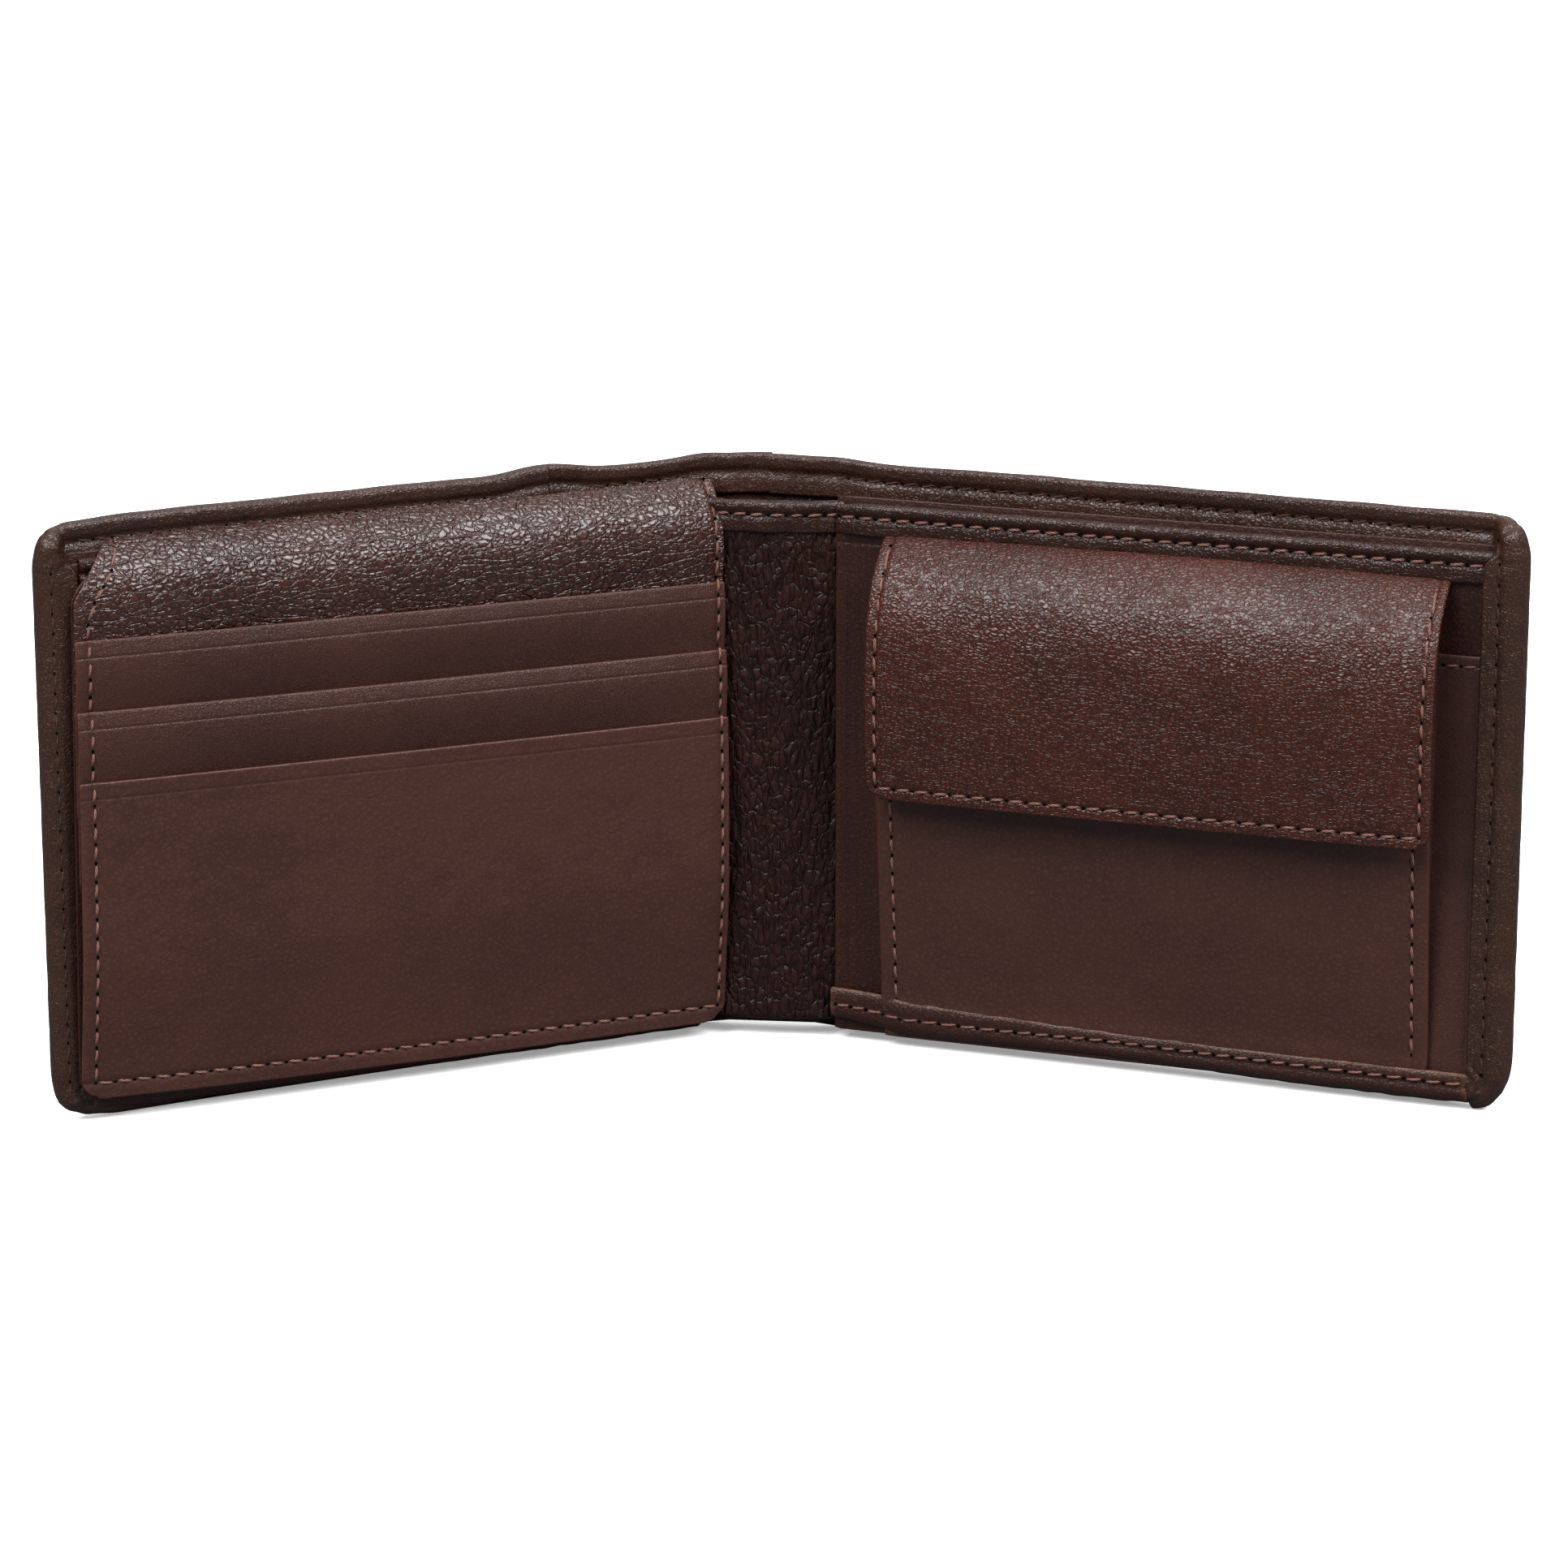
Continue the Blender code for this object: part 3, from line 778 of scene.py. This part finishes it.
FLANGE_LINE = [
    (0.75, 0.9), (0.95, 2.0), (1.55, 3.05), (2.5, 3.75), (3.6, 3.95), (4.4, 3.8), (5.2, 3.95),
    (6.2, 4.0), (6.9, 3.8),
]  # fmt: skip


def flange_rise(x, y):
    """How far the bottom flange climbs towards the spine, more at its upper rim."""
    near = (1.5, 6, 11, 14)
    rim = np.interp(x, (*near, 27, 50, 78, 105), (2.3, 2.1, 1.7, 1.1, 0.5, -0.3, -0.8, -0.9))
    foot = np.interp(x, (*near, 30, 48, 78, 105), (2.8, 2.2, 1.6, 1.2, 1.3, 1.5, 0.6, 0.3))
    share = np.clip((y - 1.0) / 6, 0, 1)
    return foot + (rim - foot) * share


def flange_step(x):
    """The flange bulges where it also covers the slip pocket and coin pocket."""
    return 0.4 * ease((x - 9.5) / 3.5)


def inner_side(side):
    """Inner panel, bill divider, top binding and bottom flange of one half."""
    name = SIDES[side]
    body = name + "_inner"
    # The left panel starts further out, and its edges lie closer to the cover
    left = (3.0, 105.8, -0.15, -0.8)
    start, end, binding_out, flange_out = left if side < 0 else (1.5, 107.6, 0.0, 0.0)
    flat_piece(
        name + "_divider", body, "inner_leather", INNER, (start, 108.5),
        [(1.8, 1.1), (90.4, 1.1)], 0.4, name + "_bill_divider", side, step=2.0,
        lift=lambda x, along: 0.15 * wavy(x, along, 40, 31),
    )  # fmt: skip

    def panel_lift(x, along):
        lines = dent(x - 3.7, 0.18, 0.14) + dent(x - 5.5, 0.16, 0.1)
        lines = lines + dent(along - 80.9, 0.2, 0.14) * ease((13 - x) / 2)
        return lines + 0.05 * wavy(x, along, 11, 33)

    flat_piece(
        name + "_panel", body, "inner_leather", INNER, (start, 108.2),
        [(1.8, 2.1), (88.9, 2.1)], 0.7, name + "_inner_panel", side, step=1.6,
        fine_x=[3.7, 5.5], fine_y=[82.7], lift=panel_lift,
    )  # fmt: skip
    line = [(y, w + binding_out) for y, w in BINDING_LINE]
    face = thin_columns(surface((start + 0.3, end), line, 0.3, side=side, lift=binding_lift), 0.6)
    piece = hide(name + "_binding", face, 0.4, put(body), BINDING)
    ready(piece, body, [name + "_top_binding"])

    def flange_lift(x, along):
        thicker = flange_step(x) if side > 0 else 0.0
        return thicker + 0.08 * wavy(x, along, 6, 41) - 0.25 * ease((x - 102) / 4)

    line = [(y, w + flange_out) for y, w in FLANGE_LINE]
    face = thin_columns(surface((start + 0.2, 106.5), line, 0.4, side=side, lift=flange_lift), 0.8)
    if side > 0:
        face[0][..., 1] += flange_rise(face[0][..., 0], face[0][..., 1])
    piece = hide(name + "_flange", face, 0.6, put(body), RAW)
    ready(piece, body, [name + "_bottom_flange"])


for side in SIDES:
    inner_side(side)


def on_binding(x, y):
    return 2.72 - 0.5 * ease((6 - x) / 4.5)


def on_flange(x, y):
    return 3.9 + 0.12 * ease((x - 30) / 40) + flange_step(x) - 0.25 * ease((x - 102) / 4)


FLANGE_SEAM = [(2.3, 6.6), (7.5, 6.2), (13.5, 5.3), (30, 5.2), (48, 5.5), (78, 5.0), (106.2, 4.6)]
sew(
    "right_binding_stitching", [(2.2, 87.3), (106.8, 87.3)], on_binding, put("right_inner"),
    PALE_THREAD, ["right_binding_seam"], "right_inner",
)  # fmt: skip
sew(
    "right_flange_stitching", FLANGE_SEAM, on_flange, put("right_inner"),
    PALE_THREAD, ["right_bottom_seam"], "right_inner", radius=0.2,
)  # fmt: skip


def slip_lift(x, along):
    lines = dent(along - 69.3, 0.2, 0.12) + dent(x - 106.0, 0.2, 0.12)
    return lines + 0.06 * wavy(x, along, 18, 51)


flat_piece(
    "slip_pocket_leather", "right_inner", "inner_leather", SLOT, (10.4, 107.8),
    [(1.8, 2.95), (73.1, 2.95)], 0.5, "right_slip_pocket", step=1.6, fine_x=[106.0],
    fine_y=[71.2], lift=slip_lift,
)  # fmt: skip
sew(
    "slip_pocket_stitching", [(100.6, 71.4), (106.2, 71.4)], lambda x, y: 2.9,
    put("right_inner"), PALE_THREAD, ["slip_pocket_seam"], "right_inner", radius=0.2, pitch=2.6,
)  # fmt: skip


# ---------------------------------------------------------------- coin pocket
COIN = (10.2, 100.4)
COIN_SEAMS = (12.8, 97.8)
# The foot of the pocket front bends out a little, to clear the panel as it tilts
COIN_LINE = [
    (6.6, 4.25), (7.8, 4.1), (9.5, 4.0), (12.5, 4.0), (18, 4.0), (28, 4.0), (46, 4.0), (75.6, 4.0),
]  # fmt: skip


def coin_lift(x, along):
    share = np.clip((x - COIN[0]) / (COIN[1] - COIN[0]), 0, 1)
    crown = 0.6 * np.sin(np.pi * share) * ease((along - 1.6) / 18) * ease((73.6 - along) / 25)
    return crown + 0.06 * wavy(x, along, 22, 61) + sewn_dents(x, COIN_SEAMS, 0.45, 0.15)


flat_piece(
    "coin_front_leather", "coin_front", "pocket_leather", POCKET, COIN,
    COIN_LINE, 0.8, "coin_pocket_front", step=1.5, fine_x=COIN_SEAMS, lift=coin_lift,
)  # fmt: skip
for name, x in zip(("left", "right"), COIN_SEAMS):
    sew(
        f"coin_{name}_stitching", [(x, 8.6), (x, 74.5)], lambda x, y: 4.0 + coin_lift(x, y - 6.6),
        put("coin_front"), PALE_THREAD, [f"coin_seam_{name}"], "coin_front",
    )  # fmt: skip
face = surface((11.6, 99), [(14, 2.85), (75, 2.85)], 2.5)
piece = hide("coin_lining_cloth", face, 0.25, put("coin_front"), TWILL, rolls=3)
ready(piece, "coin_front", ["coin_front_lining"])


def gusset(name, x, inward):
    """A soft fold closing one side of the coin pocket, from the panel to its front."""
    t, y = np.meshgrid(np.linspace(0, 1, 15), np.linspace(9.5, 75, 34))
    reach = (y - COIN_FOOT) * math.tan(math.radians(COIN_LEAN))
    w = 3.05 + t * (reach - 0.15)
    tuck = np.sin(np.pi * t) * np.minimum(reach * 0.45, 2.6) * inward
    points = np.stack((x + tuck, y, w), axis=-1)
    if inward < 0:
        points = points[:, ::-1]
    flat = np.stack((points[..., 2] + 150, y), axis=-1)
    piece = hide(name, (points, flat), 0.45, put("right_inner"), INNER)
    ready(piece, nodes=[name.replace("_fold", "")])
    start, end = put("right_inner")([[x, 60, 3.1], [x, 60, 8.2]])
    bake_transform(piece)


gusset("coin_gusset_left_fold", 10.9, 1)
gusset("coin_gusset_right_fold", 99.7, -1)

FLAP = (10.0, 101.5)
FLAP_SEAMS, FLAP_HEM = (11.8, 99.8), 46.1
FLAP_LINE = [
    (44.55, 13.0), (50, 13.4), (58, 13.7), (66, 13.6), (71.5, 13.1), (76, 11.9), (79.4, 10.1),
    (82, 8.0), (84, 5.8), (84.9, 4.6), (85.3, 3.8),
]  # fmt: skip
flap_samples, flap_run = spline(FLAP_LINE)


def flap_lift(x, along):
    share = (x - FLAP[0]) / (FLAP[1] - FLAP[0])
    bow = 0.7 * (4 * share * (1 - share)) ** 0.5 - 0.7
    hem = dent(along - 1.55, 0.4, 0.22) * ease((x - 11.1) / 1) * ease((100.6 - x) / 1)
    return bow + sewn_dents(x, FLAP_SEAMS, 0.4, 0.22) + hem + 0.1 * wavy(x, along, 17, 71)


span = (FLAP[0] + 0.45, FLAP[1] - 0.45)
trim = round_corners(span, flap_run[-1], [(False, False), (True, False)], 3.0)
fine_x, fine_y = [*FLAP_SEAMS, 11.0, 100.6], [FLAP_HEM, 44.8, 45.2]
face = surface(span, FLAP_LINE, 1.2, fine_x, fine_y, flap_lift, trim=trim)
piece = hide("coin_flap_skin", face, 0.9, put("coin_flap"), FLAP_HIDE, rolls=6)
ready(piece, "coin_flap", ["coin_flap_leather"])


def on_flap(x, y):
    along = np.interp(y, flap_samples[:, 0], flap_run)
    return line_height(flap_samples, y) + flap_lift(x, along) * (1.0 if y < 72 else 1.25)


path = [(FLAP_SEAMS[0], y) for y in (83.8, 80, 74, FLAP_HEM)]
path += [(FLAP_SEAMS[1], y) for y in (FLAP_HEM, 74, 80, 83.8)]
sew(
    "coin_flap_stitching", path, on_flap, put("coin_flap"), PALE_THREAD,
    ["coin_flap_seam"], "coin_flap",
)  # fmt: skip
face = surface(FLAP_SEAMS, [(45.6, 11.8), (60, 11.8), (68, 11.4), (75, 9.9)], 2.0)
piece = hide("coin_flap_inside", face, 0.35, put("coin_flap"), INNER)
ready(piece, "coin_flap", ["coin_flap_lining"])
for name in ("snap_stud", "snap_post", "snap_socket"):
    node = frame["nodes"][name]
    node.data.materials.clear()
    node.data.materials.append(STEEL)


# ---------------------------------------------------------------- card leaf
LEAF = (0.0, 108.0)
LEAF_SPAN = (LEAF[0] + 0.25, LEAF[1] - 0.25)  # inset for its rounded edges
LEAF_SEAMS = SEAM_IN, SEAM_OUT = 1.2, 105.7  # beside the hinge and at the outer edge
LEAF_TOP_LINE = [
    (60.2, 5.0), (72, 5.0), (77, 5.15), (79.5, 5.5), (82.5, 5.65), (85, 5.3), (87, 4.6),
    (88.7, 3.65), (90.2, 2.5), (91.4, 1.3), (92.0, 0.4),
]  # fmt: skip
leaf_samples, leaf_run = spline(LEAF_TOP_LINE)


def clipped(start, length):
    """Trim for the leaf's clipped outer corner: it leans in from start to the top."""

    def trim(x, along):
        inset = 6.4 * np.clip((along - start) / length, 0, 1) + 0.5 * ease((along - start + 2) / 4)
        share = np.clip(1 - (LEAF[1] - 0.2 - x) / 30, 0, 1)
        return x - inset * share

    return trim


def put_leaf(points):
    """Leaf layout to the row frame; the low outer corner sits up, out and closer in."""
    points = np.array(points, float)
    x, y, w = -points[..., 0], points[..., 1], points[..., 2]
    points[..., 0] -= 1.5 * x / 110 * np.clip(1 - y / 84, 0, 1)
    points[..., 1] += 1.9 * (x / 110) ** 2 * np.clip(1 - y / 55, 0, 1)
    points[..., 2] -= 2.0 * ease((30 - y) / 28) * np.clip(w - 4.5, 0, 1)
    return put("card_leaf")(points)


def leaf_lift(x, along):
    lines = wavy(x * 0.22, along, 4.5, 81)
    return sewn_dents(x, LEAF_SEAMS, 0.5, 0.22) + 0.14 * wavy(x, along, 20, 82) + 0.05 * lines


clip_start = np.interp(84.0, leaf_samples[:, 0], leaf_run)
trim = clipped(clip_start, leaf_run[-1] - clip_start)
fine_y = [89, 91, 92.3]
face = surface(LEAF_SPAN, LEAF_TOP_LINE, 1.0, LEAF_SEAMS, fine_y, leaf_lift, -1, trim)
piece = hide("leaf_top_leather", face, 0.5, put_leaf, TOP_GRAIN)
ready(piece, "card_leaf", ["leaf_top_panel"])
corner = round_corners(LEAF_SPAN, 84.3, [(False, False), (True, False)], 3.2)
clip = clipped(81.6, 6.2)
face = surface(
    LEAF_SPAN, [(3.2, 4.3), (87.5, 4.3)], 2.0, fine_y=[4, 5], side=-1,
    trim=lambda x, along: clip(corner(x, along), along),
)  # fmt: skip
piece = hide("leaf_back_leather", face, 0.5, put_leaf, INNER)
ready(piece, "card_leaf", ["leaf_back"])

# Each card slot's foot, mouth and front
SLOTS = ((49.0, 77.0, 5.7), (38.0, 66.0, 6.4), (2.8, 55.0, 7.1))
SLOT_EDGE = 0.25  # radius of a card slot's edges


def slot_piece(number, low, high, front):
    """One card slot: its mouth gapes a little and has a pressed line below it."""
    top = high - low - 2 * SLOT_EDGE
    lowest = number == len(SLOTS)

    def slot_lift(x, along):
        below = top - along
        across = np.clip(1 - np.abs(x / 55 - 1) ** 3, 0, 1)
        border = sewn_dents(x, LEAF_SEAMS, 0.5, 0.22)
        if lowest:
            belly = 0.45 * ease(below / 9)
            border = border + dent(along - 2.5, 0.5, 0.22) * ease((x - 0.3) / 1.5)
        else:
            belly = 0.75 * np.sin(np.pi * np.clip(below / 10, 0, 1.08))
        mouth = 0.35 * across * ease((7 - below) / 7) + belly * (0.5 + 0.5 * across)
        line = dent(below - 2.4, 0.13, 0.09)
        return mouth + line + border + 0.07 * wavy(x, along, 26, 89 + number)

    trim = None
    fine_y = [high - SLOT_EDGE - 2.4, high - 1]
    if lowest:
        trim = round_corners(LEAF_SPAN, top, [(False, False), (True, False)], 3.6)
        fine_y += [low + 2.7, low + 0.8]
    line = [(low + SLOT_EDGE, front), (high - SLOT_EDGE, front)]
    face = surface(LEAF_SPAN, line, 1.3, LEAF_SEAMS, fine_y, slot_lift, -1, trim)
    # The mouths slope up towards the outer edge
    slope = (-face[0][..., 0] - 55) / 55 * np.clip((face[0][..., 1] - low) / (high - low), 0, 1)
    face[0][..., 1] += 0.65 * slope
    name = f"card_slot_{number}"
    piece = hide(name + "_leather", face, 2 * SLOT_EDGE, put_leaf, SMOOTH if lowest else SLOT)
    ready(piece, "card_leaf", [name])
    return lambda x, y: front + slot_lift(x, y - low - SLOT_EDGE)


levels = [(slot[1], slot_piece(number, *slot)) for number, slot in enumerate(SLOTS, 1)]


def on_leaf(x, y):
    """Height of whichever leaf layer is on top at a point."""
    for high, level in reversed(levels):
        if y < high - 0.3:
            return level(x, y)
    along = np.interp(y, leaf_samples[:, 0], leaf_run)
    return line_height(leaf_samples, y) + leaf_lift(x, along)


path = [(SEAM_IN, y) for y in (92.0, 89.5, 77, 66, 55, 5.5)]
path += [(SEAM_OUT, y) for y in (5.5, 55, 66, 80.0)]
path += [(104.7, 83.4), (101.4, 87.8), (99.8, 91.2)]
sew("leaf_stitching", path, on_leaf, put_leaf, PALE_THREAD, ["leaf_seam"], "card_leaf", -1)


# ---------------------------------------------------------------- spine strip
# Its height over distance from the middle of the spine
STRIP_LINE = [
    (-11.4, 4.6), (-9.0, 5.4), (-6.0, 6.2), (-3.0, 6.7), (0.0, 6.95), (4.0, 6.9), (8.0, 6.4),
    (10.5, 5.7), (12.4, 4.9),
]  # fmt: skip
strip_samples = spline(STRIP_LINE)[0]


def strip_wrinkles(x, y):
    """Upright crackled folds."""
    bent = x + 0.5 * wavy(x, y, 16, 101) + 0.2 * wavy(x, y * 0.5, 4, 107)
    ridge = np.abs(wavy(bent, y * 0.2, 1.9, 102))
    return 0.3 * (0.5 - np.clip(ridge, 0, 1)) + 0.08 * wavy(x, y * 0.4, 1.3, 103)


def strip(side):
    """Half of the soft strip between the inner panels, with its binding."""
    name = SIDES[side]
    span = (0.0, strip_samples[-1, 0]) if side > 0 else (strip_samples[0, 0], 0.0)
    to_fold = side * FOLD

    def place(points):
        return put("spine")(points + np.array((to_fold, 0.0, 0.0)))

    x, y = np.meshgrid(spread(*span, 0.24), spread(3.9, 86.0, 0.5))
    w = line_height(strip_samples, x) + strip_wrinkles(x, y)
    face = np.stack((x - to_fold, y, w), axis=-1), np.stack((x, y), axis=-1)
    piece = hide(f"spine_strip_{name}", face, 0.6, place, STRIP)
    ready(piece, nodes=["inner_spine_strip"])
    bend_over_fold(piece, side)

    samples, run = spline([(y, w - 2.95) for y, w in BINDING_LINE])
    x, along = np.meshgrid(spread(*span, 0.6), spread(0.0, run[-1], 0.35))
    y, out = np.interp(along, run, samples[:, 0]), np.interp(along, run, samples[:, 1])
    w = line_height(strip_samples, x) + out + 0.55
    w = w + 0.12 * wavy(x, y, 6, 104) + 0.1 * wavy(x, y * 0.3, 1.8, 105)
    front = np.stack((x - to_fold, y + 0.15 * wavy(x, y * 0, 9, 106), w), axis=-1)
    face = front, np.stack((x, along), axis=-1)
    piece = hide(f"spine_binding_{name}", face, 0.4, place, BINDING)
    ready(piece, nodes=["spine_strip_binding"])
    bend_over_fold(piece, side)

    path = [(span[0] - to_fold + 0.3, 87.4), (span[1] - to_fold - 0.2, 87.4)]
    seam = sew(
        f"spine_binding_stitching_{name}", path,
        lambda x, y: line_height(strip_samples, x + to_fold) + 0.38, place,
        PALE_THREAD, ["spine_binding_seam"], pitch=2.9,
    )  # fmt: skip
    bend_over_fold(seam, side)


for side in SIDES:
    strip(side)


# ---------------------------------------------------------------- bottom webs
def web(side):
    """Soft leather closing the bottom of the bill compartment on one half."""
    name = SIDES[side]
    near, far = (6.6, 3.1) if side > 0 else (4.6, 2.3)
    start, end = 2.5, 105.0
    share, x = np.meshgrid(np.linspace(0, 1, 12), np.linspace(start, end, 70))
    reach = near + (far - near) * (x - start) / (end - start)
    w = 0.3 + share * (reach - 0.3)
    y = 0.8 + share * (1.3 + flange_rise(x, 1.0)) + 0.8 * np.sin(np.pi * share)
    y = y + 0.8 * (1 - share) * bell(x - 52, 30) + 0.1 * wavy(x, share, 12, 111)
    points, flat = np.stack((side * x, y, w), axis=-1), np.stack((x, w), axis=-1)
    if side > 0:
        points, flat = points[:, ::-1], flat[:, ::-1]
    piece = hide(f"{name}_bottom_web", (points, flat), 0.4, put(name + "_half"), INNER)
    ready(piece, nodes=[f"{name}_bottom_gusset"])
    start, end = put(name + "_half")([[side * 50, 0, 0.4], [side * 50, 0, 3.0]])
    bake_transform(piece)


for side in SIDES:
    web(side)

share, x = np.meshgrid(np.linspace(0, 1, 12), np.linspace(-10.6, 10.6, 30))
w = 0.5 + share * (line_height(strip_samples, x) - 0.6 - 0.5)
y = 0.9 + 2.4 * share**2 + 0.6 * np.sin(np.pi * share)
points, flat = np.stack((x, y, w), axis=-1), np.stack((x, w + 40), axis=-1)
piece = hide("spine_bottom_web", (points[:, ::-1], flat[:, ::-1]), 0.4, put("spine"), INNER)
ready(piece, "spine", ["spine_bottom_gusset"])

# ---------------------------------------------------------------- studio
t = Tree("studio_paper")
# White to the camera but dimmer in the light it throws back on the leather
seen = t.add("ShaderNodeLightPath").outputs["Is Camera Ray"]
t.link(t.mix(seen, (0.13, 0.13, 0.13, 1.0), (1.5, 1.5, 1.5, 1.0)), "Base Color")
t.link(t.math("MULTIPLY", seen, 0.3), "Emission Strength")
t.set(Roughness=0.9, Specular_IOR_Level=0.0, Emission_Color=(1.0, 1.0, 1.0, 1.0))
floor_mesh = bpy.data.meshes.new("studio_floor")
floor_mesh.from_pydata([(-8, -4, 0), (8, -4, 0), (8, 12, 0), (-8, 12, 0)], [], [(0, 1, 2, 3)])
floor_mesh.materials.append(t.material)
put_in_scene("studio_floor", floor_mesh)

world = bpy.data.worlds.new("studio")
world.use_nodes = True
sky = world.node_tree.nodes["Background"].inputs
sky["Color"].default_value = (1.0, 1.0, 1.0, 1.0)
sky["Strength"].default_value = 0.16
bpy.context.scene.world = world


def sun(name, direction, strength, across):
    """Soft light from far away; direction points from the wallet to the light."""
    data = bpy.data.lights.new(name, "SUN")
    data.energy = strength
    data.angle = math.radians(across)
    lamp = put_in_scene(name, data)
    lamp.rotation_euler = Vector(direction).to_track_quat("Z", "Y").to_euler()


sun("right_softbox", (0.75, -0.75, 1.15), 2.6, 34)
sun("left_softbox", (-0.75, -0.75, 1.15), 2.6, 34)
sun("back_softbox", (0.25, 0.9, 0.75), 0.7, 60)
sun("overhead_softbox", (0.0, 0.1, 1.0), 0.6, 60)

bpy.context.scene.view_settings.view_transform = "Standard"
lens = bpy.data.cameras.new("camera")
lens.lens, lens.sensor_width, lens.clip_end = 123.65, 36.0, 50.0
camera = put_in_scene("camera", lens)
azimuth, elevation, distance = math.radians(2.35), math.radians(15.32), 0.85
target = np.array((*(folds.mean(0)[:2] + (0.001085, -0.02343)), HEIGHT / 2 * MM))
level = math.cos(elevation)
look = np.array((math.sin(azimuth) * level, math.cos(azimuth) * level, -math.sin(elevation)))
camera.location = target - look * distance
camera.rotation_euler = (math.pi / 2 - elevation, 0.0, -azimuth)
bpy.context.scene.camera = camera
